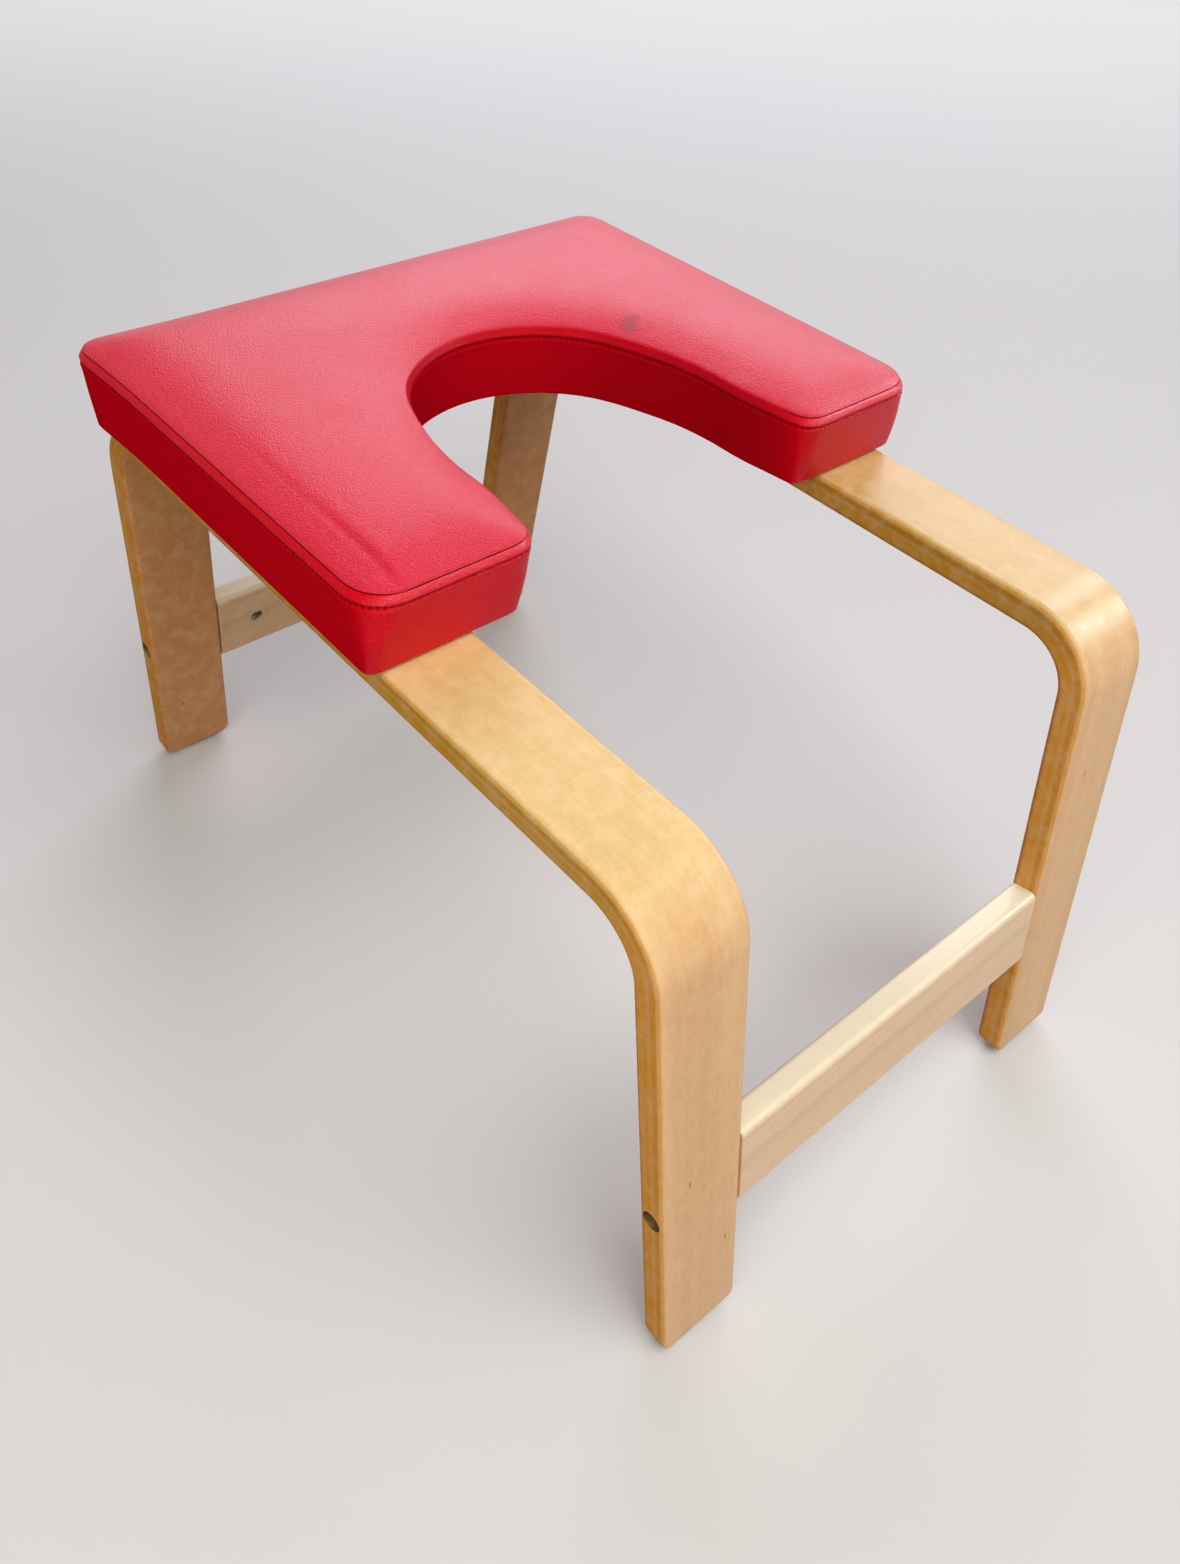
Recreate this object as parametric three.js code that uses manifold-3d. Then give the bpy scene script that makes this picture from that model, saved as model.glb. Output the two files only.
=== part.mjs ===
import * as THREE from 'three';
import { mergeVertices } from 'three/addons/utils/BufferGeometryUtils.js';
import Module from 'manifold-3d';

// Yoga headstand stool: two bent wooden side frames, two cross-rails and a U-shaped shoulder pad.
// Millimetres. X runs across the stool, +Y to the rear, +Z up. The origin is on the floor, in the middle.

const wasm = await Module();
wasm.setup();

// Bent side frames
const stripWidth = 55;
const stripThickness = 18;
const frameSpan = 365;          // outer face to outer face of the two frames
const frameHeight = 324;        // leg ends to the top of the rails
const railLength = 500;         // between the corners where the outer faces of legs and rail would meet
const legSplay = THREE.MathUtils.degToRad(9.8);
const bendRadius = 32;          // inside of the bend
const stripEdgeRadius = 3.5;
const soleEdgeRadius = 4.5;
const footCornerRadius = 8;

// Cross-rails
const crossRailHeight = 58;
const crossRailEdgeRadius = 4.5;
const crossRailUp = 120;        // leg end to the middle of the cross-rail, along the leg

// Cross-rail bolts, washers and barrel nuts
const boltDiameter = 6;
const railBoltLength = 80;
const railBoltHeadDiameter = 10;
const railBoltHeadHeight = 6;
const railBoltKey = 5;          // across the flats of the hexagonal socket
const railBoltKeyDepth = 3.5;
const railBoltSink = 15;        // depth of the head's counterbore in the leg
const counterboreDiameter = 12;
const railWasherDiameter = 11.2;
const washerThickness = 1.5;
const barrelNutDiameter = 10;
const barrelNutLength = 14;
const barrelNutIn = 31;         // from the cross-rail's end to the nut's axis
const barrelNutSlotWidth = 1.5;
const barrelNutSlotDepth = 1.2;
const boltEndSpare = 2;         // empty bore past a bolt's tip

// Wooden dowels
const dowelDiameter = 8;
const dowelLength = 40;
const dowelSpacing = 38;        // one above the bolt and one below it
const dowelChamfer = 1;

// Foot glides
const glideDiameter = 14;
const glideHeight = 3;
const glideFlatDiameter = 9;
const glideIn = 15;             // from the frame's outer face to the glide's axis
const glideNailDiameter = 2.4;
const glideNailLength = 12;
const glideNailPoint = 2.5;

// Shoulder pad, heights above the top of the rails
const padOuterOverhang = 9;     // past the frames' outer faces
const padInnerOverhang = 25.5;  // past the frames' inner faces, to the opening
const padFront = 58;            // from the middle of the stool forward to the ends of the arms
const padRear = 239;
const openingReach = 128;       // from the middle of the stool back to the deepest point of the opening
const sideLean = 1;             // how far the pad's sides lean out, from the lower edge up to the seam
const armLean = 7.5;            // the same, for the arms' front ends and inner faces
const openingLean = 4.5;        // the same, at the deepest point of the opening
const seamHeight = 47;
const crownRise = 8;            // from the seam to the top of the crown
const crownReachShare = 0.93;   // of the way from the seam to the middle of an arm, over which the crown rises
const crownPower = 2.5;
const cushionCornerRadius = 24;
const rearCornerRadius = 17;
const armInnerCornerRadius = 15;
const boardCornerRadius = 4;
const cornerPower = 1.5;        // how late, on the way up from the lower edge, the corners round out
const leastCornerRadius = 1.5;

// Pad cover, seam and topstitched ridge
const coverThickness = 1.2;
const seamTuck = 1.8;
const ridgeHeight = 6;          // from the seam down to the topstitching
const ridgeShoulder = 0.5;
const ridgeShoulderDrop = 2.2;
const stitchTuck = 1;
const stitchSpread = 1.3;       // half the height of the dent along the stitches
const bandTuck = 0.7;           // how far the band draws in towards its lower edge
const bandFullHeight = 26;      // where the band stands out furthest
const bandFoldRadius = 1.4;
const coverLipWidth = 20;

// Pad board, foam and lining
const boardThickness = 15;
const liningThickness = 0.8;
const liningIn = 8;

// Pad bolts and T-nuts
const padBoltFront = 10;        // forward of the middle of the stool
const padBoltRear = 160;
const padBoltLength = 35;
const padBoltHeadDiameter = 10.5;
const padBoltHeadHeight = 3.3;
const padBoltHeadFlatDiameter = 6.4;
const padBoltKey = 4;
const padBoltKeyDepth = 2;
const padBoltRimShare = 0.25;   // of the head's height, up to the start of its dome
const padBoltShoulderShare = 0.8;
const padWasherDiameter = 16;
const teeNutFlangeDiameter = 19;
const teeNutFlangeThickness = 1.2;
const teeNutBarrelDiameter = 8.6;
const teeNutBarrelLength = 9;

// Clearances
const contactGap = 0.3;         // between pieces that touch
const boltPlay = 0.5;           // all round a bolt in its hole
const overrun = 5;              // how far a cut runs past the face it enters

// Fineness of the round shapes
const bendSegments = 5;
const edgeSegments = 2;
const footSegments = 3;
const shownSegments = 16;
const hiddenSegments = 12;
const cornerSegments = 4;
const openingSegments = 18;

const crownRingShares = [0, 0.06, 0.15, 0.28, 0.48, 0.72, 1];

// Places worked out from the sizes above
const outerRadius = bendRadius + stripThickness;
const footReach = railLength / 2 + frameHeight * Math.tan(legSplay);
const soleCentre = footReach - stripThickness / (2 * Math.cos(legSplay));
const frameCentre = (frameSpan - stripWidth) / 2;
const frameInner = frameSpan / 2 - stripWidth;
const bendTangent = outerRadius * Math.tan((Math.PI / 2 - legSplay) / 2);
const bendCentre = railLength / 2 - bendTangent;
const railTop = glideHeight + frameHeight;
const padWidth = frameSpan + 2 * padOuterOverhang;
const openingWidth = 2 * (frameInner - padInnerOverhang);
const armWidth = (padWidth - openingWidth) / 2 + sideLean + armLean;
const crownReach = crownReachShare * (armWidth / 2 - seamTuck);
const seamGap = contactGap * Math.SQRT2;
const lipBottom = contactGap + liningThickness + contactGap;
const lipTop = lipBottom + coverThickness;
const boardBottom = lipTop + contactGap;
const boardTop = boardBottom + boardThickness;
const boardIn = bandTuck + coverThickness + contactGap + leastCornerRadius / 2;
const foamBottom = boardTop + contactGap;
const teeNutRecess = teeNutFlangeThickness + 2 * contactGap;
const boltBore = boltDiameter / 2 + boltPlay;

const sides = [{ name: 'left', sign: -1 }, { name: 'right', sign: 1 }];
const ends = [{ name: 'front', sign: -1 }, { name: 'rear', sign: 1 }];
const padBoltPlaces = [{ name: 'front', y: -padBoltFront }, { name: 'rear', y: padBoltRear }];

const finishes = {
  beechStrip: { color: '#d8a35f', roughness: 0.38, metalness: 0 },
  beechRail: { color: '#dfb277', roughness: 0.4, metalness: 0 },
  dowelWood: { color: '#cda97a', roughness: 0.7, metalness: 0 },
  zincSteel: { color: '#a9adb0', roughness: 0.35, metalness: 0.9 },
  nylon: { color: '#e9e6df', roughness: 0.45, metalness: 0 },
  redLeatherette: { color: '#c01624', roughness: 0.42, metalness: 0 },
  foam: { color: '#e8dcb4', roughness: 0.95, metalness: 0 },
  plywood: { color: '#c9a878', roughness: 0.75, metalness: 0 },
  liningCloth: { color: '#1d1c1c', roughness: 0.95, metalness: 0 },
};

// Closed mesh with shared vertices and no empty triangles
function weld(geometry) {
  const bare = geometry.clone();
  bare.deleteAttribute('normal');
  bare.deleteAttribute('uv');
  const merged = mergeVertices(bare);
  const corners = merged.index.array;
  const kept = [];
  for (let i = 0; i < corners.length; i += 3) {
    const [a, b, c] = [corners[i], corners[i + 1], corners[i + 2]];
    if (a !== b && b !== c && c !== a) {
      kept.push(a, b, c);
    }
  }
  merged.setIndex(kept);
  return merged;
}

function toSolid(geometry) {
  const closed = weld(geometry);
  return new wasm.Manifold(new wasm.Mesh({
    numProp: 3,
    vertProperties: new Float32Array(closed.attributes.position.array),
    triVerts: new Uint32Array(closed.index.array),
  }));
}

function toGeometry(solid) {
  const mesh = solid.getMesh();
  const geometry = new THREE.BufferGeometry();
  geometry.setAttribute('position', new THREE.BufferAttribute(mesh.vertProperties, 3));
  geometry.setIndex(new THREE.BufferAttribute(mesh.triVerts, 1));
  geometry.computeVertexNormals();
  return geometry;
}

function cutAll(geometry, cutters) {
  let solid = toSolid(geometry);
  for (const cutter of cutters) {
    solid = solid.subtract(toSolid(cutter));
  }
  return toGeometry(solid);
}

// Round bars along the three axes, each between two places on its axis
function barAlongX(from, to, radius, y, z, segments = hiddenSegments) {
  const cylinder = new THREE.CylinderGeometry(radius, radius, Math.abs(to - from), segments);
  return cylinder.rotateZ(Math.PI / 2).translate((from + to) / 2, y, z);
}

function barAlongY(from, to, radius, x, z) {
  const cylinder = new THREE.CylinderGeometry(radius, radius, Math.abs(to - from), shownSegments);
  return cylinder.translate(x, (from + to) / 2, z);
}

function barAlongZ(from, to, radius, x, y) {
  const cylinder = new THREE.CylinderGeometry(radius, radius, Math.abs(to - from), hiddenSegments);
  return cylinder.rotateX(Math.PI / 2).translate(x, y, (from + to) / 2);
}

// Solid of revolution about Z; a profile point is a radius and a height, from the bottom up the outside
function turned(profile, segments = hiddenSegments) {
  const points = profile.map(([radius, height]) => new THREE.Vector2(radius, height));
  return weld(new THREE.LatheGeometry(points, segments).rotateX(Math.PI / 2));
}

function piece(name, geometry, finish) {
  const mesh = new THREE.Mesh(geometry, new THREE.MeshStandardMaterial(finish));
  mesh.name = name;
  return mesh;
}

// Side frames

// A place on a leg's middle line, a given distance up from the leg's end
function legPlace(along) {
  return {
    y: soleCentre - along * Math.sin(legSplay),
    z: along * Math.cos(legSplay),
  };
}

// Side view of the bent strip, with the Y of the stool across and its Z up
function stripOutline() {
  const outline = new THREE.Shape();
  const bendZ = frameHeight - outerRadius;
  const right = Math.PI / 2;
  const outerSole = footReach - soleEdgeRadius * Math.tan((right + legSplay) / 2);
  const innerSole = footReach - stripThickness / Math.cos(legSplay)
    + soleEdgeRadius * Math.tan((right - legSplay) / 2);
  outline.absarc(-outerSole, soleEdgeRadius, soleEdgeRadius, 3 * right, 2 * right - legSplay, true);
  outline.absarc(-bendCentre, bendZ, outerRadius, 2 * right - legSplay, right, true);
  outline.absarc(bendCentre, bendZ, outerRadius, right, legSplay, true);
  outline.absarc(outerSole, soleEdgeRadius, soleEdgeRadius, legSplay, -right, true);
  outline.absarc(innerSole, soleEdgeRadius, soleEdgeRadius, 3 * right, 2 * right + legSplay, true);
  outline.absarc(bendCentre, bendZ, bendRadius, legSplay, right, false);
  outline.absarc(-bendCentre, bendZ, bendRadius, right, 2 * right - legSplay, false);
  outline.absarc(-innerSole, soleEdgeRadius, soleEdgeRadius, -legSplay, -right, true);
  outline.closePath();
  return outline;
}

// The strip bent to shape, its long edges rounded, centred on X and standing on its leg ends
function bentStrip() {
  const strip = new THREE.ExtrudeGeometry(stripOutline(), {
    depth: stripWidth - 2 * stripEdgeRadius,
    curveSegments: bendSegments,
    bevelEnabled: true,
    bevelThickness: stripEdgeRadius,
    bevelSize: stripEdgeRadius,
    bevelOffset: -stripEdgeRadius,
    bevelSegments: edgeSegments,
  });
  strip.translate(0, 0, stripEdgeRadius - stripWidth / 2);
  return strip.applyMatrix4(new THREE.Matrix4().set(
    0, 0, 1, 0,
    1, 0, 0, 0,
    0, 1, 0, 0,
    0, 0, 0, 1,
  ));
}

// Front view of a frame, with the two rounded corners of its feet
function footRounding() {
  const half = stripWidth / 2;
  const top = frameHeight + overrun;
  const outline = new THREE.Shape();
  outline.moveTo(-half - overrun, top);
  outline.lineTo(-half - overrun, footCornerRadius);
  outline.lineTo(-half, footCornerRadius);
  outline.absarc(-half + footCornerRadius, footCornerRadius, footCornerRadius, Math.PI, 1.5 * Math.PI, false);
  outline.absarc(half - footCornerRadius, footCornerRadius, footCornerRadius, 1.5 * Math.PI, 2 * Math.PI, false);
  outline.lineTo(half + overrun, footCornerRadius);
  outline.lineTo(half + overrun, top);
  outline.closePath();
  const depth = 2 * (footReach + overrun);
  const block = new THREE.ExtrudeGeometry(outline, { depth, curveSegments: footSegments, bevelEnabled: false });
  return block.rotateX(Math.PI / 2).translate(0, depth / 2, 0);
}

// Bores of one leg: the bolt's with its counterbore, two for dowels and one for the glide's nail
function legBores(side, end) {
  const outerFace = side * stripWidth / 2;
  const innerFace = -outerFace;
  const past = side * overrun;
  const bolt = legPlace(crossRailUp);
  const cutters = [
    barAlongX(innerFace - past, outerFace + past, boltBore, end * bolt.y, bolt.z),
    barAlongX(
      outerFace - side * railBoltSink, outerFace + past, counterboreDiameter / 2,
      end * bolt.y, bolt.z, shownSegments,
    ),
  ];
  for (const above of [-dowelSpacing / 2, dowelSpacing / 2]) {
    const dowel = legPlace(crossRailUp + above);
    const depth = dowelLength / 2 + contactGap;
    cutters.push(barAlongX(
      innerFace - past, innerFace + side * depth, dowelDiameter / 2 + contactGap, end * dowel.y, dowel.z,
    ));
  }
  cutters.push(barAlongZ(
    -overrun, glideNailLength + contactGap, glideNailDiameter / 2 + contactGap,
    outerFace - side * glideIn, end * soleCentre,
  ));
  return cutters;
}

function sideFrame(side) {
  const rounded = toGeometry(toSolid(bentStrip()).intersect(toSolid(footRounding())));
  const cutters = ends.flatMap((end) => legBores(side, end.sign));
  for (const place of padBoltPlaces) {
    cutters.push(barAlongZ(
      frameHeight - stripThickness - overrun, frameHeight + overrun, boltBore, 0, place.y,
    ));
  }
  return cutAll(rounded, cutters);
}

// Cross-rails, drawn about the middle of the rail with its height along Z

function crossRail(end) {
  const halfThick = stripThickness / 2;
  const halfHigh = crossRailHeight / 2;
  const round = crossRailEdgeRadius;
  const length = 2 * (frameInner - contactGap);
  const section = new THREE.Shape();
  section.absarc(halfThick - round, halfHigh - round, round, 0, Math.PI / 2, false);
  section.absarc(-halfThick + round, halfHigh - round, round, Math.PI / 2, Math.PI, false);
  section.absarc(-halfThick + round, -halfHigh + round, round, Math.PI, 1.5 * Math.PI, false);
  section.absarc(halfThick - round, -halfHigh + round, round, 1.5 * Math.PI, 2 * Math.PI, false);
  section.closePath();
  const bar = new THREE.ExtrudeGeometry(section, { depth: length, curveSegments: edgeSegments, bevelEnabled: false });
  bar.translate(0, 0, -length / 2).applyMatrix4(new THREE.Matrix4().set(
    0, 0, 1, 0,
    1, 0, 0, 0,
    0, 1, 0, 0,
    0, 0, 0, 1,
  ));
  const cutters = [];
  const boltTip = railBoltSeat() - railBoltLength - boltEndSpare;
  const nutRadius = barrelNutDiameter / 2 + contactGap;
  const nutDepth = barrelNutLength / 2 + contactGap;
  for (const side of [-1, 1]) {
    const endFace = side * (frameInner + overrun);
    cutters.push(barAlongX(side * boltTip, endFace, boltBore, 0, 0));
    cutters.push(barAlongY(
      end * nutDepth, -end * (halfThick + overrun), nutRadius, side * (frameInner - barrelNutIn), 0,
    ));
    for (const above of [-dowelSpacing / 2, dowelSpacing / 2]) {
      const bottom = frameInner - dowelLength / 2 - contactGap;
      cutters.push(barAlongX(side * bottom, endFace, dowelDiameter / 2 + contactGap, 0, above));
    }
  }
  return cutAll(bar, cutters);
}

// Fasteners, drawn about Z with the head up

// Distance from the middle of the stool to the underside of a rail bolt's head
function railBoltSeat() {
  return frameSpan / 2 - railBoltSink + contactGap + washerThickness + contactGap;
}

function hexSocket(acrossFlats, from, to) {
  const radius = acrossFlats / Math.sqrt(3);
  const prism = new THREE.CylinderGeometry(radius, radius, to - from, 6);
  return prism.rotateX(Math.PI / 2).translate(0, 0, (from + to) / 2);
}

function railBolt() {
  const shank = boltDiameter / 2;
  const head = railBoltHeadDiameter / 2;
  const chamfer = boltDiameter / 8;
  const body = turned([
    [0, -railBoltLength],
    [shank - chamfer, -railBoltLength],
    [shank, chamfer - railBoltLength],
    [shank, 0],
    [head, 0],
    [head, railBoltHeadHeight - chamfer],
    [head - chamfer, railBoltHeadHeight],
    [0, railBoltHeadHeight],
  ]);
  const socket = hexSocket(railBoltKey, railBoltHeadHeight - railBoltKeyDepth, railBoltHeadHeight + overrun);
  return cutAll(body, [socket]);
}

function padBolt() {
  const shank = boltDiameter / 2;
  const head = padBoltHeadDiameter / 2;
  const flat = padBoltHeadFlatDiameter / 2;
  const chamfer = boltDiameter / 8;
  const body = turned([
    [0, -padBoltLength],
    [shank - chamfer, -padBoltLength],
    [shank, chamfer - padBoltLength],
    [shank, 0],
    [head, 0],
    [head, padBoltRimShare * padBoltHeadHeight],
    [(head + flat) / 2, padBoltShoulderShare * padBoltHeadHeight],
    [flat, padBoltHeadHeight],
    [0, padBoltHeadHeight],
  ], shownSegments);
  const socket = hexSocket(padBoltKey, padBoltHeadHeight - padBoltKeyDepth, padBoltHeadHeight + overrun);
  return cutAll(body, [socket]);
}

function washer(diameter) {
  const bore = boltDiameter / 2 + contactGap;
  return turned([
    [bore, 0],
    [diameter / 2, 0],
    [diameter / 2, washerThickness],
    [bore, washerThickness],
    [bore, 0],
  ]);
}

// Cross dowel nut, its length along Y and its threaded hole along X, with a slot in one end
function barrelNut(end) {
  const half = barrelNutLength / 2;
  const radius = barrelNutDiameter / 2;
  const slot = new THREE.BoxGeometry(barrelNutDiameter + overrun, barrelNutSlotDepth * 2, barrelNutSlotWidth);
  slot.translate(0, -end * half, 0);
  return cutAll(barAlongY(-half, half, radius, 0, 0), [
    barAlongX(-radius - overrun, radius + overrun, boltDiameter / 2 + contactGap, 0, 0),
    slot,
  ]);
}

function dowel() {
  const radius = dowelDiameter / 2;
  const half = dowelLength / 2;
  return turned([
    [0, -half],
    [radius - dowelChamfer, -half],
    [radius, dowelChamfer - half],
    [radius, half - dowelChamfer],
    [radius - dowelChamfer, half],
    [0, half],
  ]);
}

// Nailed glide standing on the floor, with its nail up into the leg
function glide() {
  const nail = glideNailDiameter / 2;
  const top = glideHeight - contactGap;
  const nailTop = top + glideNailLength;
  return turned([
    [0, 0],
    [glideFlatDiameter / 2, 0],
    [(glideFlatDiameter + glideDiameter) / 4, glideHeight / 6],
    [glideDiameter / 2, glideHeight / 2],
    [glideDiameter / 2, top],
    [nail, top],
    [nail, nailTop - glideNailPoint],
    [nail / 4, nailTop],
    [0, nailTop],
  ], shownSegments);
}

// T-nut with its flange on top, the underside of the flange at zero
function teeNut() {
  const bore = boltDiameter / 2 + contactGap;
  return turned([
    [bore, -teeNutBarrelLength],
    [teeNutBarrelDiameter / 2, -teeNutBarrelLength],
    [teeNutBarrelDiameter / 2, 0],
    [teeNutFlangeDiameter / 2, 0],
    [teeNutFlangeDiameter / 2, teeNutFlangeThickness],
    [bore, teeNutFlangeThickness],
    [bore, -teeNutBarrelLength],
  ]);
}

// Shoulder pad

// The U-shaped outline of the pad at a height, drawn in by a distance, counterclockwise from above.
// It leans out up to the seam, and its front corners go from nearly sharp to round.
function padRing(inset, height) {
  const lean = THREE.MathUtils.clamp(height / seamHeight, 0, 1);
  const share = lean ** cornerPower;
  const outer = THREE.MathUtils.lerp(boardCornerRadius, cushionCornerRadius, share) - inset;
  const inner = THREE.MathUtils.lerp(boardCornerRadius, armInnerCornerRadius, share) - inset;
  const back = rearCornerRadius - inset;
  const side = padWidth / 2 + lean * sideLean - inset;
  const rear = padRear - inset;
  const front = inset - lean * armLean - padFront;
  const halfOpening = openingWidth / 2 - lean * armLean;
  const reach = openingReach - lean * openingLean;
  const opening = halfOpening + inset;
  const ring = [];
  const corner = (x, y, towardX, towardY, radius, startAngle) => {
    const round = Math.max(radius, leastCornerRadius);
    for (let i = 0; i <= cornerSegments; i += 1) {
      const angle = startAngle + (i / cornerSegments) * Math.PI / 2;
      ring.push(new THREE.Vector3(
        x + towardX * round + round * Math.cos(angle),
        y + towardY * round + round * Math.sin(angle),
        height,
      ));
    }
  };
  corner(opening, front, 1, 1, inner, Math.PI);
  corner(side, front, -1, 1, outer, 1.5 * Math.PI);
  corner(side, rear, -1, -1, back, 0);
  corner(-side, rear, 1, -1, back, Math.PI / 2);
  corner(-side, front, 1, 1, outer, Math.PI);
  corner(-opening, front, -1, 1, inner, 1.5 * Math.PI);
  for (let i = 0; i <= openingSegments; i += 1) {
    const angle = Math.PI * (1 - i / openingSegments);
    const edge = new THREE.Vector2(Math.cos(angle) * halfOpening, Math.sin(angle) * reach);
    const away = new THREE.Vector2(Math.cos(angle) * reach, Math.sin(angle) * halfOpening);
    away.normalize().multiplyScalar(inset);
    ring.push(new THREE.Vector3(edge.x + away.x, edge.y + away.y, height));
  }
  return ring;
}

// Skin through rings of equal count; open ends are capped, a closed section joins its last ring to its first
function loft(rings, closedSection) {
  const count = rings[0].length;
  const positions = rings.flat().flatMap((point) => [point.x, point.y, point.z]);
  const index = [];
  const pairs = closedSection ? rings.length : rings.length - 1;
  for (let k = 0; k < pairs; k += 1) {
    const low = k * count;
    const high = ((k + 1) % rings.length) * count;
    for (let j = 0; j < count; j += 1) {
      const next = (j + 1) % count;
      index.push(low + j, low + next, high + next, low + j, high + next, high + j);
    }
  }
  if (!closedSection) {
    const last = (rings.length - 1) * count;
    for (const [a, b, c] of THREE.ShapeUtils.triangulateShape(rings[0], [])) {
      index.push(a, c, b);
    }
    for (const [a, b, c] of THREE.ShapeUtils.triangulateShape(rings[rings.length - 1], [])) {
      index.push(last + a, last + b, last + c);
    }
  }
  const geometry = new THREE.BufferGeometry();
  geometry.setAttribute('position', new THREE.Float32BufferAttribute(positions, 3));
  geometry.setIndex(index);
  geometry.computeVertexNormals();
  return geometry;
}

// Height of the crown above the seam, a share of the way in from the seam
function crownAt(share) {
  return crownRise * (1 - (1 - share) ** crownPower);
}

// Outer face of the side band from its lower fold up to the seam, as distances in and heights
function bandFace() {
  const stitches = seamHeight - ridgeHeight;
  return [
    [bandTuck + bandFoldRadius, lipBottom],
    [bandTuck + bandFoldRadius / 3, lipBottom + bandFoldRadius / 3],
    [bandTuck, lipBottom + bandFoldRadius],
    [bandTuck / 3, foamBottom],
    [0, bandFullHeight],
    [stitchTuck / 3, stitches - stitchSpread],
    [stitchTuck, stitches],
    [stitchTuck / 3, stitches + stitchSpread],
    [0, seamHeight - ridgeHeight / 2],
    [ridgeShoulder, seamHeight - ridgeShoulderDrop],
    [seamTuck, seamHeight - seamGap],
  ];
}

// Sewn side band, turned in under the board
function sideBand() {
  const face = bandFace();
  const back = face
    .filter(([, height]) => height > lipTop)
    .map(([inset, height]) => [inset + coverThickness, height])
    .reverse();
  back[0][1] -= coverThickness;
  const lip = [
    [bandTuck + coverThickness, lipTop],
    [coverLipWidth, lipTop],
    [coverLipWidth, lipBottom],
  ];
  const section = [...face, ...back, ...lip];
  return loft(section.map(([inset, height]) => padRing(inset, height)), true);
}

// Crowned top panel, a sheet of even height from the seam inwards
function topPanel() {
  const under = [...crownRingShares].reverse().map((share) => padRing(
    seamTuck + share * crownReach + (1 - share) * coverThickness,
    seamHeight + crownAt(share) - coverThickness,
  ));
  const over = crownRingShares.map((share) => padRing(
    seamTuck + share * crownReach,
    seamHeight + crownAt(share),
  ));
  return loft([...under, ...over], false);
}

// Foam block on the board, filling the cover
function foamCore() {
  const skin = coverThickness + contactGap;
  const sidesOfFoam = bandFace()
    .filter(([, height]) => height > foamBottom && height <= seamHeight - ridgeHeight / 2)
    .map(([inset, height]) => padRing(inset + skin, height));
  const crown = crownRingShares.map((share) => padRing(
    seamTuck + share * crownReach + (1 - share) * (skin + contactGap),
    seamHeight + crownAt(share) - skin - contactGap,
  ));
  return loft([padRing(bandTuck + skin, foamBottom), ...sidesOfFoam, ...crown], false);
}

function sheetOf(inset, from, thickness) {
  return loft([padRing(inset, from), padRing(inset, from + thickness)], false);
}

function padBores(radius, from, to) {
  return sides.flatMap((side) => padBoltPlaces.map(
    (place) => barAlongZ(from, to, radius, side.sign * frameCentre, place.y),
  ));
}

// The board's corners stay nearly sharp through its whole thickness
function baseBoard() {
  const board = new THREE.ExtrudeGeometry(
    new THREE.Shape(padRing(boardIn, 0).map((point) => new THREE.Vector2(point.x, point.y))),
    { depth: boardThickness, bevelEnabled: false },
  );
  board.translate(0, 0, boardBottom);
  return cutAll(board, [
    ...padBores(teeNutBarrelDiameter / 2 + contactGap, boardBottom - overrun, boardTop + overrun),
    ...padBores(teeNutFlangeDiameter / 2 + contactGap, boardTop - teeNutRecess, boardTop + overrun),
  ]);
}

function undersideLining() {
  const cutters = padBores(boltBore, -overrun, lipBottom + overrun);
  return cutAll(sheetOf(liningIn, contactGap, liningThickness), cutters);
}

// Assembly

const stool = new THREE.Group();

for (const side of sides) {
  const frame = piece(`${side.name}_side_frame`, sideFrame(side.sign), finishes.beechStrip);
  frame.position.set(side.sign * frameCentre, 0, glideHeight);
  stool.add(frame);
}

for (const end of ends) {
  const middle = legPlace(crossRailUp);
  const joint = new THREE.Group();
  joint.position.set(0, end.sign * middle.y, glideHeight + middle.z);
  joint.rotation.x = end.sign * legSplay;
  joint.add(piece(`${end.name}_cross_rail`, crossRail(end.sign), finishes.beechRail));
  for (const side of sides) {
    const corner = `${end.name}_${side.name}`;
    const turn = side.sign * Math.PI / 2;
    const bolt = piece(`${corner}_rail_bolt`, railBolt(), finishes.zincSteel);
    bolt.position.x = side.sign * railBoltSeat();
    bolt.rotation.y = turn;
    const ring = piece(`${corner}_rail_washer`, washer(railWasherDiameter), finishes.zincSteel);
    ring.position.x = side.sign * (frameSpan / 2 - railBoltSink + contactGap);
    ring.rotation.y = turn;
    const nut = piece(`${corner}_barrel_nut`, barrelNut(end.sign), finishes.zincSteel);
    nut.position.x = side.sign * (frameInner - barrelNutIn);
    joint.add(bolt, ring, nut);
    for (const [place, above] of [['lower', -dowelSpacing / 2], ['upper', dowelSpacing / 2]]) {
      const pin = piece(`${corner}_${place}_dowel`, dowel(), finishes.dowelWood);
      pin.position.set(side.sign * frameInner, 0, above);
      pin.rotation.y = turn;
      joint.add(pin);
    }
    const foot = piece(`${corner}_foot_glide`, glide(), finishes.nylon);
    foot.position.set(side.sign * (frameSpan / 2 - glideIn), end.sign * soleCentre, 0);
    stool.add(foot);
  }
  stool.add(joint);
}

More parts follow.
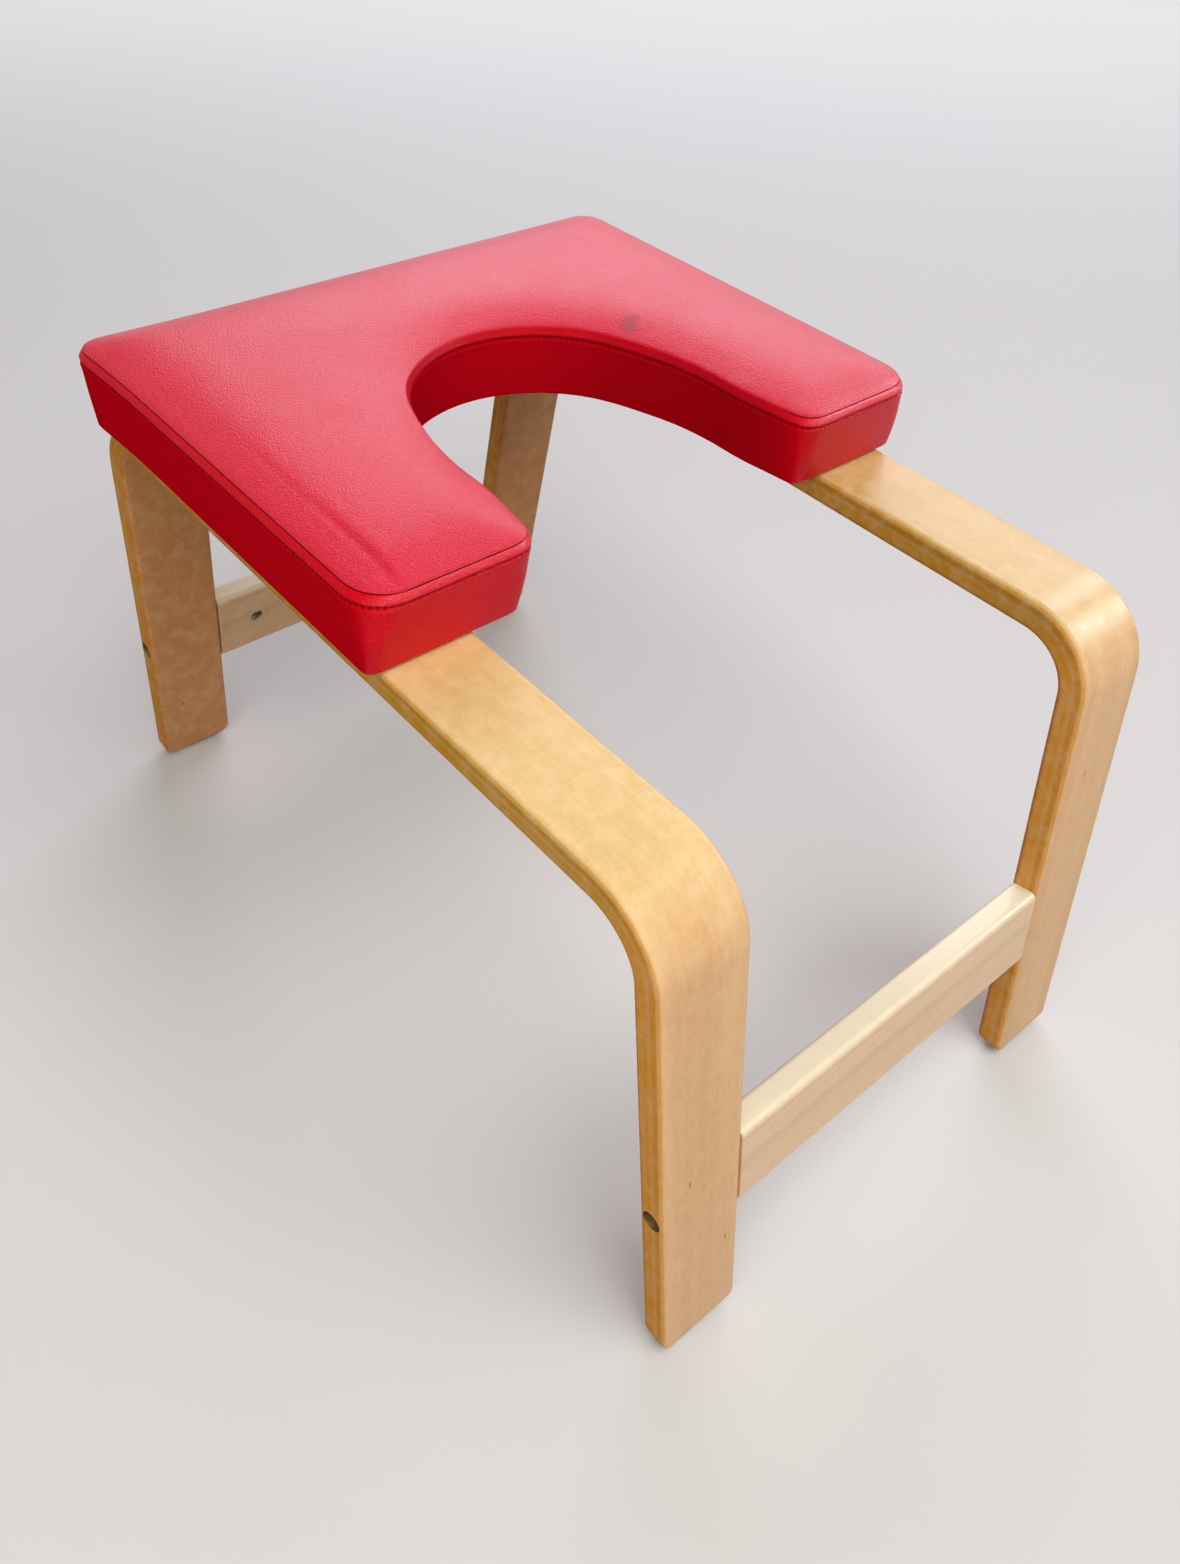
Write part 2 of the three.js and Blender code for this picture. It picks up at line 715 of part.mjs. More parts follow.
const pad = new THREE.Group();
pad.position.z = railTop;
pad.add(
  piece('pad_base_board', baseBoard(), finishes.plywood),
  piece('pad_foam_core', foamCore(), finishes.foam),
  piece('pad_side_band', sideBand(), finishes.redLeatherette),
  piece('pad_top_panel', topPanel(), finishes.redLeatherette),
  piece('pad_underside_lining', undersideLining(), finishes.liningCloth),
);
for (const side of sides) {
  for (const place of padBoltPlaces) {
    const corner = `${place.name}_${side.name}`;
    const x = side.sign * frameCentre;
    const washerTop = -stripThickness - contactGap;
    const nut = piece(`${corner}_tee_nut`, teeNut(), finishes.zincSteel);
    nut.position.set(x, place.y, boardTop - teeNutRecess + contactGap);
    const ring = piece(`${corner}_pad_washer`, washer(padWasherDiameter), finishes.zincSteel);
    ring.position.set(x, place.y, washerTop - washerThickness);
    const bolt = piece(`${corner}_pad_bolt`, padBolt(), finishes.zincSteel);
    bolt.position.set(x, place.y, washerTop - washerThickness - contactGap);
    bolt.rotation.x = Math.PI;
    pad.add(nut, ring, bolt);
  }
}
stool.add(pad);

export default stool;
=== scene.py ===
"""Looks of the yoga headstand stool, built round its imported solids.

The sizes in the classes are in millimetres, in the frame of the solids: X runs across the stool, +Y to
the rear and +Z up from the floor. They become metres where a mesh is made.
"""

import logging
import math
from dataclasses import dataclass
from enum import Enum
from typing import Any, Callable, Mapping, Optional, Sequence

import bpy
import numpy as np
from mathutils import Euler, Matrix, Vector, geometry, kdtree


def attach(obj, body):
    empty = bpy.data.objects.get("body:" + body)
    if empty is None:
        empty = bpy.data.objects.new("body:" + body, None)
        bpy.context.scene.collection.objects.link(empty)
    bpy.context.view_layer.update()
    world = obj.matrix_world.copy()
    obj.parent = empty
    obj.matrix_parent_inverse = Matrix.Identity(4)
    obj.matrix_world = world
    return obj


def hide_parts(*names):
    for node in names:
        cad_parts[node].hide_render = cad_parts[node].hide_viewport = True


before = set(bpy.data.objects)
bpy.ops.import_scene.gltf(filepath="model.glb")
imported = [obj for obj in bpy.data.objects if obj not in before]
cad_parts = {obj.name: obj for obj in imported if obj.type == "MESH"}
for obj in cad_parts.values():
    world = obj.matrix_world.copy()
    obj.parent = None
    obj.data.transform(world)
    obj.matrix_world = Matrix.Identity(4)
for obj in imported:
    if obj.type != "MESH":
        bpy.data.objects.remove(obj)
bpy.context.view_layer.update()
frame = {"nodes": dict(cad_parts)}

MM = 0.001
ROOT = "root"
RIGHT_ANGLE = math.pi / 2.0
FULL_TURN = 2.0 * math.pi
STRAIGHT = (0.0, 0.0, 0.0)
QUARTERS = ((1, 1), (-1, 1), (-1, -1), (1, -1))

Pair = tuple[float, float]
Point = tuple[float, float, float]
Colour = tuple[float, float, float]
Faces = list[Sequence[int]]
Shape = tuple[Any, Faces]
Places = list[tuple[Point, Point]]
Move = Callable[[np.ndarray], np.ndarray]
Piece = bpy.types.Object
Mesh = bpy.types.Mesh
Material = bpy.types.Material
Tree = bpy.types.NodeTree
Node = bpy.types.Node
Socket = bpy.types.NodeSocket

log = logging.getLogger("stool")


class Side(Enum):
    """The two sides of the stool, each with the sign of its X."""

    LEFT = -1
    RIGHT = 1


class End(Enum):
    """The two ends of the stool, each with the sign of its Y."""

    FRONT = -1
    REAR = 1


class Slot(Enum):
    """The record's material slots."""

    STRIP = "beech_strip"
    RAIL = "beech_rail"
    DOWEL = "dowel_wood"
    PLYWOOD = "plywood"
    STEEL = "zinc_steel"
    NYLON = "white_nylon"
    LEATHERETTE = "red_leatherette"
    FOAM = "foam"
    LINING = "lining_cloth"


CORNERS = [(end, side) for end in End for side in Side]


def corner_nodes(suffix: str) -> list[str]:
    """Returns the names of the four corners' solids of one kind."""
    return [f"{end.name.lower()}_{side.name.lower()}_{suffix}" for end, side in CORNERS]


def smoothstep(value: Any, low: float, high: float) -> Any:
    """Rises smoothly from 0 at low to 1 at high.

    Args:
        value: A number or an array.
        low: Where the rise starts.
        high: Where it ends.

    Returns:
        The share risen, of the same form as value.
    """
    share = np.clip((value - low) / (high - low), 0.0, 1.0)
    return share * share * (3.0 - 2.0 * share)


def hump(value: Any, width: float) -> Any:
    """Returns 1 at zero, falling away on both sides over a width."""
    return np.exp(-((value / width) ** 2))


# Meshes


def new_piece(name: str, points: Any, faces: Faces, edges: Sequence[Sequence[int]] = ()) -> Piece:
    """Makes a mesh object at the origin.

    Args:
        name: The piece's name.
        points: Its corners, in millimetres.
        faces: Its faces, as indices of corners.
        edges: The edges that belong to no face.

    Returns:
        The object, linked to the scene, with all normals outwards.
    """
    mesh = bpy.data.meshes.new(name)
    mesh.from_pydata((np.asarray(points, float) * MM).tolist(), edges, faces)
    turn_out(mesh)
    piece = bpy.data.objects.new(name, mesh)
    bpy.context.scene.collection.objects.link(piece)
    return piece


def turn_out(mesh: Mesh) -> None:
    """Turns a mesh's faces outwards, by the sign of the volume that they span from its middle.

    Args:
        mesh: The mesh.
    """
    mesh.calc_loop_triangles()
    points = read_points(mesh)
    points -= points.mean(axis=0)
    corners = np.empty(len(mesh.loop_triangles) * 3, int)
    mesh.loop_triangles.foreach_get("vertices", corners)
    a, b, c = (points[corners.reshape(-1, 3)[:, i]] for i in range(3))
    if np.einsum("ij,ij->i", a, np.cross(b, c)).sum() < 0.0:
        mesh.flip_normals()
    mesh.update()


def read_points(mesh: Mesh) -> np.ndarray:
    """Returns a mesh's corners as rows, in metres.

    Args:
        mesh: The mesh.

    Returns:
        The points.
    """
    points = np.empty(len(mesh.vertices) * 3)
    mesh.vertices.foreach_get("co", points)
    return points.reshape(-1, 3)


def modify(piece: Piece, kind: str, **settings: Any) -> None:
    """Runs one modifier on a piece and keeps the result as its plain mesh.

    Args:
        piece: The piece.
        kind: The modifier's type.
        **settings: Its settings.
    """
    modifier = piece.modifiers.new(kind.lower(), kind)
    for key, value in settings.items():
        setattr(modifier, key, value)
    apply_modifiers(piece)


def apply_modifiers(piece: Piece) -> None:
    """Turns a piece's modifiers into its plain mesh.

    Args:
        piece: The piece.
    """
    graph = bpy.context.evaluated_depsgraph_get()
    graph.update()
    mesh = bpy.data.meshes.new_from_object(piece.evaluated_get(graph), depsgraph=graph)
    mesh.name = piece.name
    piece.modifiers.clear()
    piece.data = mesh


def discard(piece: Piece) -> None:
    """Deletes a helper object with its mesh.

    Args:
        piece: The piece.
    """
    mesh = piece.data
    bpy.data.objects.remove(piece)
    if mesh.users == 0:
        bpy.data.meshes.remove(mesh)


def cut(piece: Piece, cutters: Sequence[Shape]) -> None:
    """Takes closed shapes that don't meet one another out of a piece.

    Args:
        piece: The piece.
        cutters: The corners and faces of the solids.
    """
    cutter = new_piece("cutter", *joined(cutters))
    modify(piece, "BOOLEAN", operation="DIFFERENCE", solver="EXACT", object=cutter)
    discard(cutter)


def joined(shapes: Sequence[Shape]) -> Shape:
    """Puts several shapes, each its corners and faces, into one.

    Args:
        shapes: The corners and faces of each.

    Returns:
        The corners and faces of all of them.
    """
    points: list[np.ndarray] = []
    faces: Faces = []
    start = 0
    for corners, sides in shapes:
        points.append(np.asarray(corners, float))
        faces += [[start + i for i in side] for side in sides]
        start += len(corners)
    return np.vstack(points), faces


def loft(rings: Sequence[np.ndarray], ends: bool = True) -> Shape:
    """Skins rings of equal count.

    Args:
        rings: The rings in order, each a closed loop of points.
        ends: Whether the first and last ring are closed with a face each.

    Returns:
        The corners and faces.
    """
    count = len(rings[0])
    around = np.arange(count)
    after = (around + 1) % count
    faces: Faces = []
    for k in range(len(rings) - 1):
        low, high = k * count, (k + 1) * count
        faces += np.stack([low + around, low + after, high + after, high + around], axis=1).tolist()
    if ends:
        last = (len(rings) - 1) * count
        faces += [around[::-1].tolist(), (last + around).tolist()]
    return np.vstack(rings), faces


def circle(segments: int) -> np.ndarray:
    """Returns evenly spaced points on a circle of radius 1, as X and Y."""
    angles = np.linspace(0.0, FULL_TURN, segments, endpoint=False)
    return np.stack([np.cos(angles), np.sin(angles)], axis=1)


def at_height(flat: np.ndarray, height: float) -> np.ndarray:
    """Gives flat points one height."""
    return np.column_stack([flat, np.full(len(flat), height)])


def turned(profile: Sequence[Pair], segments: int = 32) -> Shape:
    """Turns a profile about Z.

    Args:
        profile: Radius and height of each point. It starts and ends on the axis, or else closes on itself.
        segments: The number of sides.

    Returns:
        The corners and faces of a closed solid.
    """
    around = circle(segments)
    rings = [at_height(around * radius, height) for radius, height in profile]
    if profile[0][0] == 0.0:
        return loft(rings[1:-1])
    return loft([*rings, rings[0]], ends=False)


def aimed(shape: Shape, place: Point, turn: Point = STRAIGHT) -> Shape:
    """Turns a shape by Euler angles in degrees and moves it to a place."""
    matrix = np.array(Euler([math.radians(a) for a in turn]).to_matrix())
    return np.asarray(shape[0]) @ matrix.T + np.array(place), shape[1]


def rod(radius: float, low: float, high: float, segments: int = 32) -> Shape:
    """Returns a plain round bar along Z."""
    return turned([(0.0, low), (radius, low), (radius, high), (0.0, high)], segments)


def rounded_box(half: Pair, radii: Pair, steps: int) -> np.ndarray:
    """Draws a rectangle with rounded corners, counterclockwise round the origin.

    Args:
        half: Half its size both ways.
        radii: The corners' radius both ways.
        steps: The number of points on each corner.

    Returns:
        The points.
    """
    points = []
    for quarter, signs in enumerate(QUARTERS):
        for angle in np.linspace(0.0, RIGHT_ANGLE, steps) + quarter * RIGHT_ANGLE:
            points.append([
                sign * (size - radius) + radius * share
                for sign, size, radius, share in zip(signs, half, radii, (math.cos(angle), math.sin(angle)))
            ])
    return np.array(points)


def shade_smooth(piece: Piece) -> None:
    """Smooths a piece's shading."""
    piece.data.polygons.foreach_set("use_smooth", [True] * len(piece.data.polygons))


def finish_shape(piece: Piece, sharp: float = 35.0) -> None:
    """Smooths a piece's shading between edges sharper than an angle in degrees, flat faces kept flat.

    Args:
        piece: The piece.
        sharp: The angle, in degrees.
    """
    shade_smooth(piece)
    piece.data.set_sharp_from_angle(angle=math.radians(sharp))
    modify(piece, "WEIGHTED_NORMAL", keep_sharp=True)


def set_attribute(mesh: Mesh, name: str, values: np.ndarray) -> None:
    """Stores one number for each corner of a mesh."""
    attribute = mesh.attributes.new(name, "FLOAT", "POINT")
    attribute.data.foreach_set("value", np.asarray(values, np.float32))


def mark_edges(piece: Piece, full: float = 0.12) -> None:
    """Stores how much each corner stands out, from 0 on a flat to 1 where rubbing wears it.

    Args:
        piece: The finished piece.
        full: The outward slope that counts as 1.
    """
    mesh = piece.data
    points = read_points(mesh)
    normals = np.empty(len(points) * 3)
    mesh.vertex_normals.foreach_get("vector", normals)
    normals = normals.reshape(-1, 3)
    pairs = np.empty(len(mesh.edges) * 2, int)
    mesh.edges.foreach_get("vertices", pairs)
    first, second = pairs.reshape(-1, 2).T
    span = points[first] - points[second]
    span /= np.maximum(np.linalg.norm(span, axis=1), 1e-9)[:, None]
    slope = np.zeros(len(points))
    np.maximum.at(slope, first, np.einsum("ij,ij->i", span, normals[first]))
    np.maximum.at(slope, second, -np.einsum("ij,ij->i", span, normals[second]))
    set_attribute(mesh, "edge", np.clip(slope / full, 0.0, 1.0))


def hand_over(piece: Piece, finish: Material, nodes: Sequence[str] = ()) -> None:
    """Dresses a finished piece and says what it stands for.

    Args:
        piece: The piece.
        finish: Its material.
        nodes: The solids that it replaces.
    """
    piece.data.materials.clear()
    piece.data.materials.append(finish)
    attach(piece, ROOT)
    if nodes:
        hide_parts(*nodes)
    log.info("%s: %d faces, stands for %d solids", piece.name, len(piece.data.polygons), len(nodes))


def dress_solids(nodes: Sequence[str], finish: Material) -> None:
    """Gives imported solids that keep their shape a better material.

    Args:
        nodes: The solids' names.
        finish: The material.
    """
    for node in nodes:
        solid = frame["nodes"][node]
        for place in solid.material_slots:
            place.material = finish
        log.info("%s: keeps its shape", node)


# Node trees


class Graph:
    """Writes one node tree."""

    def __init__(self, tree: Tree) -> None:
        """Starts with an existing tree."""
        self.tree = tree

    def add(self, kind: str, inputs: Optional[Mapping[Any, Any]] = None, **settings: Any) -> Node:
        """Adds a node.

        Args:
            kind: The node's type.
            inputs: What each input gets, by name or index: another node's output, or a plain value.
            **settings: The node's own properties.

        Returns:
            The node.
        """
        node = self.tree.nodes.new(kind)
        node.location = (60.0 * len(self.tree.nodes), 0.0)
        for key, value in settings.items():
            setattr(node, key, value)
        for key, value in (inputs or {}).items():
            self.feed(node.inputs[key], value)
        return node

    def feed(self, socket: Socket, value: Any) -> None:
        """Links or sets one input. A colour needs no alpha.

        Args:
            socket: The input.
            value: Another node's output, or a plain value.
        """
        if isinstance(value, Socket):
            self.tree.links.new(value, socket)
        elif socket.type == "RGBA":
            socket.default_value = (*value[:3], 1.0)
        else:
            socket.default_value = value

    def fill(self, node: Node, **values: Any) -> None:
        """Feeds several inputs of a node, with spaces in their names as underscores."""
        for name, value in values.items():
            self.feed(node.inputs[name.replace("_", " ")], value)

    def math(self, operation: str, a: Any, b: Any = 0.0, c: Any = 0.0, clamp: bool = False) -> Socket:
        """Returns the result of a Math node."""
        node = self.add("ShaderNodeMath", {0: a, 1: b, 2: c}, operation=operation, use_clamp=clamp)
        return node.outputs[0]

    def plus(self, a: Any, b: Any, clamp: bool = False) -> Socket:
        """Returns a sum."""
        return self.math("ADD", a, b, clamp=clamp)

    def minus(self, a: Any, b: Any) -> Socket:
        """Returns a difference."""
        return self.math("SUBTRACT", a, b)

    def times(self, a: Any, b: Any, plus: Any = None) -> Socket:
        """Returns a product, with a third value added to it if there is one.

        Args:
            a: The first factor.
            b: The second factor.
            plus: What is added, if anything.

        Returns:
            The result.
        """
        if plus is None:
            return self.math("MULTIPLY", a, b)
        return self.math("MULTIPLY_ADD", a, b, plus)

    def vector(self, operation: str, a: Any, b: Any = STRAIGHT) -> Socket:
        """Returns the place that a Vector Math node gives."""
        return self.add("ShaderNodeVectorMath", {0: a, 1: b}, operation=operation).outputs[0]

    def scaled(self, place: Socket, scales: Point) -> Socket:
        """Returns a place with each axis times its own scale."""
        return self.vector("MULTIPLY", place, scales)

    def length(self, place: Socket) -> Socket:
        """Returns how far a place lies from the origin."""
        return self.add("ShaderNodeVectorMath", {0: place}, operation="LENGTH").outputs["Value"]

    def split(self, place: Socket) -> Sequence[Socket]:
        """Returns a place's X, Y and Z."""
        return self.add("ShaderNodeSeparateXYZ", {0: place}).outputs

    def unite(self, x: Any = 0.0, y: Any = 0.0, z: Any = 0.0) -> Socket:
        """Returns the place with an X, Y and Z."""
        return self.add("ShaderNodeCombineXYZ", {0: x, 1: y, 2: z}).outputs[0]

    def rise(self, value: Any, low: float, high: float, start: float = 0.0, end: float = 1.0) -> Socket:
        """Returns start below low, end above high and a smooth change between."""
        inputs = {0: value, 1: low, 2: high, 3: start, 4: end}
        return self.add("ShaderNodeMapRange", inputs, interpolation_type="SMOOTHSTEP").outputs[0]

    def fall(self, value: Any, low: float, high: float) -> Socket:
        """Returns 1 below low, 0 above high and a smooth change between."""
        return self.rise(value, low, high, 1.0, 0.0)

    def mix(self, share: Any, a: Any, b: Any, blend: str = "MIX") -> Socket:
        """Returns the mix of two colours."""
        node = self.add("ShaderNodeMix", {0: share, 6: a, 7: b}, data_type="RGBA", blend_type=blend)
        return node.outputs[2]

    def tint(self, colour: Any, mask: Socket, strength: float, other: Any, blend: str = "MIX") -> Socket:
        """Returns a colour mixed with another one where a mask is, at a strength."""
        return self.mix(self.times(mask, strength), colour, other, blend)

    def noise(self, place: Socket, scale: Any, detail: float = 2.0, roughness: float = 0.5) -> Socket:
        """Returns the value of a Noise Texture.

        Args:
            place: Where it is read.
            scale: One scale, or one for each axis.
            detail: The number of finer layers.
            roughness: How strong those are.

        Returns:
            The value.
        """
        if isinstance(scale, tuple):
            place, scale = self.scaled(place, scale), 1.0
        inputs = {"Vector": place, "Scale": scale, "Detail": detail, "Roughness": roughness}
        return self.add("ShaderNodeTexNoise", inputs).outputs[0]

    def cells(self, place: Socket, scale: Any, feature: str = "F1", **settings: Any) -> Mapping[str, Socket]:
        """Returns the outputs of a Voronoi Texture."""
        inputs = {"Vector": place, "Scale": scale}
        return self.add("ShaderNodeTexVoronoi", inputs, feature=feature, **settings).outputs

    def mark(self, name: str) -> Socket:
        """Returns the value that is stored on the mesh under a name."""
        return self.add("ShaderNodeAttribute", attribute_name=name).outputs["Fac"]

    def facing(self) -> Sequence[Socket]:
        """Returns the X, Y and Z of the surface's normal."""
        return self.split(self.add("ShaderNodeNewGeometry").outputs["Normal"])

    def group(self, tree: Tree, **inputs: Any) -> Mapping[str, Socket]:
        """Places a node group and returns its outputs.

        Args:
            tree: The group.
            **inputs: What each input gets.

        Returns:
            The outputs.
        """
        node = self.add("ShaderNodeGroup", node_tree=tree)
        self.fill(node, **inputs)
        return node.outputs

    def emboss(self, shader: Node, height: Socket, depth: float, strength: float = 1.0) -> None:
        """Feeds a height, times a depth in millimetres, to a shader's normal."""
        bump = self.add("ShaderNodeBump", {"Height": height, "Distance": depth * MM, "Strength": strength})
        self.feed(shader.inputs["Normal"], bump.outputs[0])


def new_tree(
    name: str, kind: str, inputs: Mapping[str, str], outputs: Mapping[str, str],
) -> tuple[Graph, Any, Node]:
    """Starts a shader node group or a geometry tree.

    Args:
        name: The tree's name.
        kind: Shader or Geometry.
        inputs: The kind of each input, such as Float, Vector or Color.
        outputs: The kind of each output.

    Returns:
        The graph, the inner sockets of its inputs, and its output node.
    """
    tree = bpy.data.node_groups.new(name, f"{kind}NodeTree")
    for way, sockets in (("INPUT", inputs), ("OUTPUT", outputs)):
        for title, form in sockets.items():
            tree.interface.new_socket(name=title, in_out=way, socket_type=f"NodeSocket{form}")
    graph = Graph(tree)
    source = graph.add("NodeGroupInput")
    return graph, source.outputs, graph.add("NodeGroupOutput")


def grain_group() -> Tree:
    """Makes the group that draws beech: long streaks, growth lines and short dark flecks along the grain.

    Its Place runs along the grain, across it and into the depth, in metres.

    Returns:
        The group.
    """
    graph, source, sink = new_tree(
        "Beech grain", "Shader",
        {"Place": "Vector", "Pale": "Color", "Deep": "Color", "Fleck": "Color", "Flecks": "Float"},
        {"Color": "Color", "Roughness": "Float", "Height": "Float"},
    )
    place = source["Place"]
    broad = graph.noise(place, (1.3, 70.0, 70.0), 3.0, 0.55)
    mottle = graph.noise(place, (6.0, 42.0, 42.0))
    fibre = graph.noise(place, (75.0, 650.0, 650.0), 4.0, 0.62)
    warp = graph.noise(place, (2.5, 14.0, 14.0))
    phase = graph.times(warp, 9.0, plus=graph.times(graph.split(place)[1], 620.0))
    growth = graph.times(graph.math("SINE", phase), 0.5, plus=0.5)
    rays = graph.cells(graph.scaled(place, (380.0, 1500.0, 1500.0)), 1.0)
    chance = graph.rise(graph.split(rays["Color"])[0], 0.25, 0.8)
    dash = graph.times(graph.fall(rays["Distance"], 0.15, 0.5), chance)
    tone = graph.times(graph.rise(broad, 0.3, 0.7), 0.5, plus=graph.times(growth, 0.08))
    tone = graph.plus(tone, graph.times(graph.rise(mottle, 0.3, 0.72), 0.09))
    tone = graph.plus(tone, graph.times(fibre, 0.9, plus=-0.3), clamp=True)
    body = graph.mix(tone, source["Pale"], source["Deep"])
    graph.fill(
        sink,
        Color=graph.mix(graph.times(dash, source["Flecks"]), body, source["Fleck"]),
        Roughness=graph.times(fibre, 0.16, plus=0.26),
        Height=graph.minus(graph.times(fibre, 0.5), graph.times(dash, 0.3)),
    )
    return graph.tree


def strip_group(rail: "BentFrame") -> Tree:
    """Makes the group that unrolls a bent strip: how far along it a place lies, how far across and how deep.

    Args:
        rail: A side frame, for the places of its bends.

    Returns:
        The group. Leg is 0 on the rail and 1 down the legs.
    """
    graph, source, sink = new_tree(
        "Bent strip", "Shader", {"Place": "Vector"}, {"Place": "Vector", "Depth": "Float", "Leg": "Float"},
    )
    x, y, z = graph.split(source["Place"])
    reach = graph.minus(graph.math("ABSOLUTE", y), rail.bend_y * MM)
    lift = graph.minus(z, rail.bend_z * MM)
    raw = graph.math("ARCTAN2", lift, reach)
    angle = graph.math("MINIMUM", graph.math("MAXIMUM", raw, rail.lean), RIGHT_ANGLE)
    cosine, sine = graph.math("COSINE", angle), graph.math("SINE", angle)
    radius = graph.times(reach, cosine, plus=graph.times(lift, sine))
    past = graph.minus(graph.times(reach, sine), graph.times(lift, cosine))
    swept = graph.minus(RIGHT_ANGLE, angle)
    middle = rail.bend_radius + rail.thickness / 2.0
    along = graph.plus(graph.times(swept, middle * MM, plus=rail.bend_y * MM), past)
    depth = graph.minus(rail.outer_radius * MM, radius)
    graph.fill(
        sink,
        Place=graph.unite(graph.times(along, graph.math("SIGN", y)), x, depth),
        Depth=depth,
        Leg=graph.rise(swept, 0.15, 1.2),
    )
    return graph.tree


def hide_group() -> Tree:
    """Makes the group that embosses leatherette: small uneven pebbles with fine creases between them.

    Returns:
        The group.
    """
    graph, source, sink = new_tree(
        "Embossed hide", "Shader", {"Place": "Vector", "Pebble": "Float"},
        {"Height": "Float", "Crease": "Float"},
    )
    place, pebble = source["Place"], source["Pebble"]
    sway = graph.add("ShaderNodeTexNoise", {"Vector": place, "Scale": 240.0, "Detail": 1.0}).outputs[1]
    bent = graph.vector("ADD", place, graph.scaled(sway, (0.0016, 0.0016, 0.0016)))
    pebbles = graph.cells(bent, pebble, "SMOOTH_F1")["Distance"]
    crease = graph.fall(graph.cells(bent, pebble, "DISTANCE_TO_EDGE")["Distance"], 0.0, 0.13)
    fine = graph.noise(place, 3600.0)
    pull = graph.noise(place, (150.0, 150.0, 700.0))
    height = graph.minus(graph.times(fine, 0.2), graph.times(crease, 0.45))
    height = graph.minus(height, graph.times(pebbles, 0.6))
    graph.fill(sink, Height=graph.times(pull, 0.5, plus=height), Crease=crease)
    return graph.tree


def handling_group() -> Tree:
    """Makes the group of use: faint smudges that change the gloss, and a little dust low down in patches.

    Returns:
        The group.
    """
    graph, source, sink = new_tree(
        "Handling", "Shader", {"Place": "Vector", "Amount": "Float"}, {"Gloss": "Float", "Dust": "Float"},
    )
    place, amount = source["Place"], source["Amount"]
    smudge = graph.rise(graph.noise(place, 16.0, 4.0, 0.62), 0.42, 0.75)
    wipe = graph.rise(graph.noise(place, (9.0, 26.0, 40.0), 3.0, 0.6), 0.4, 0.8)
    both = graph.times(graph.plus(smudge, wipe), 0.5)
    low = graph.fall(graph.split(place)[2], 0.0, 0.09)
    patch = graph.rise(graph.noise(place, 130.0, 3.0, 0.65), 0.5, 0.8)
    graph.fill(sink, Gloss=graph.times(both, amount), Dust=graph.times(graph.times(low, patch), amount))
    return graph.tree


def wear_group() -> Tree:
    """Makes the group that breaks up the stored edge marks into uneven wear.

    Returns:
        The group.
    """
    inputs = {"Place": "Vector", "Edge": "Float"}
    graph, source, sink = new_tree("Edge wear", "Shader", inputs, {"Wear": "Float"})
    broken = graph.rise(graph.noise(source["Place"], 95.0, 4.0, 0.65), 0.38, 0.7)
    graph.fill(sink, Wear=graph.times(source["Edge"], broken))
    return graph.tree


@dataclass(frozen=True)
class Use:
    """What use leaves on a finish.

    Args:
        rubbed: The colour of rubbed edges.
        rub: How strongly they show.
        dusty: The colour of dust.
        dust: How strongly it shows.
        amount: The amount of smudges and dust.
    """

    rubbed: Colour
    rub: float
    dusty: Colour
    dust: float
    amount: float = 1.0


class Shop:
    """The shared node groups and geometry trees, made once, and what every finish starts from."""

    def __init__(self, rail: "BentFrame") -> None:
        """Makes the groups and trees.

        Args:
            rail: The side frame.
        """
        self.grain = grain_group()
        self.strip = strip_group(rail)
        self.hide = hide_group()
        self.handling = handling_group()
        self.wear = wear_group()
        self.parts_at_places = places_tree()
        self.row_of_bows = row_tree()

    def start(self, name: str, **fixed: Any) -> tuple[Material, Graph, Node, Socket]:
        """Starts a material.

        Args:
            name: The material's name.
            **fixed: Plain values of the Principled shader, with spaces in their names as underscores.

        Returns:
            The material, its graph, its Principled shader and the Object coordinates.
        """
        material = bpy.data.materials.new(name)
        material.use_nodes = True
        graph = Graph(material.node_tree)
        shader = material.node_tree.nodes["Principled BSDF"]
        graph.fill(shader, **fixed)
        return material, graph, shader, graph.add("ShaderNodeTexCoord").outputs["Object"]

    def use(self, graph: Graph, place: Socket, amount: float = 1.0) -> tuple[Socket, Socket]:
        """Places the handling group and returns its gloss and dust."""
        outputs = graph.group(self.handling, Place=place, Amount=amount)
        return outputs["Gloss"], outputs["Dust"]

    def age(self, graph: Graph, place: Socket, colour: Socket, use: Use) -> tuple[Socket, Socket, Socket]:
        """Rubs a finish's edges and dusts it.

        Args:
            graph: The material's graph.
            place: The Object coordinates.
            colour: The clean colour.
            use: What use leaves on it.

        Returns:
            The used colour, the smudges' gloss and the mask of the rubbed edges.
        """
        gloss, dust = self.use(graph, place, use.amount)
        wear = graph.group(self.wear, Place=place, Edge=graph.mark("edge"))["Wear"]
        colour = graph.tint(colour, wear, use.rub, use.rubbed)
        return graph.tint(colour, dust, use.dust, use.dusty), gloss, wear


# Finishes


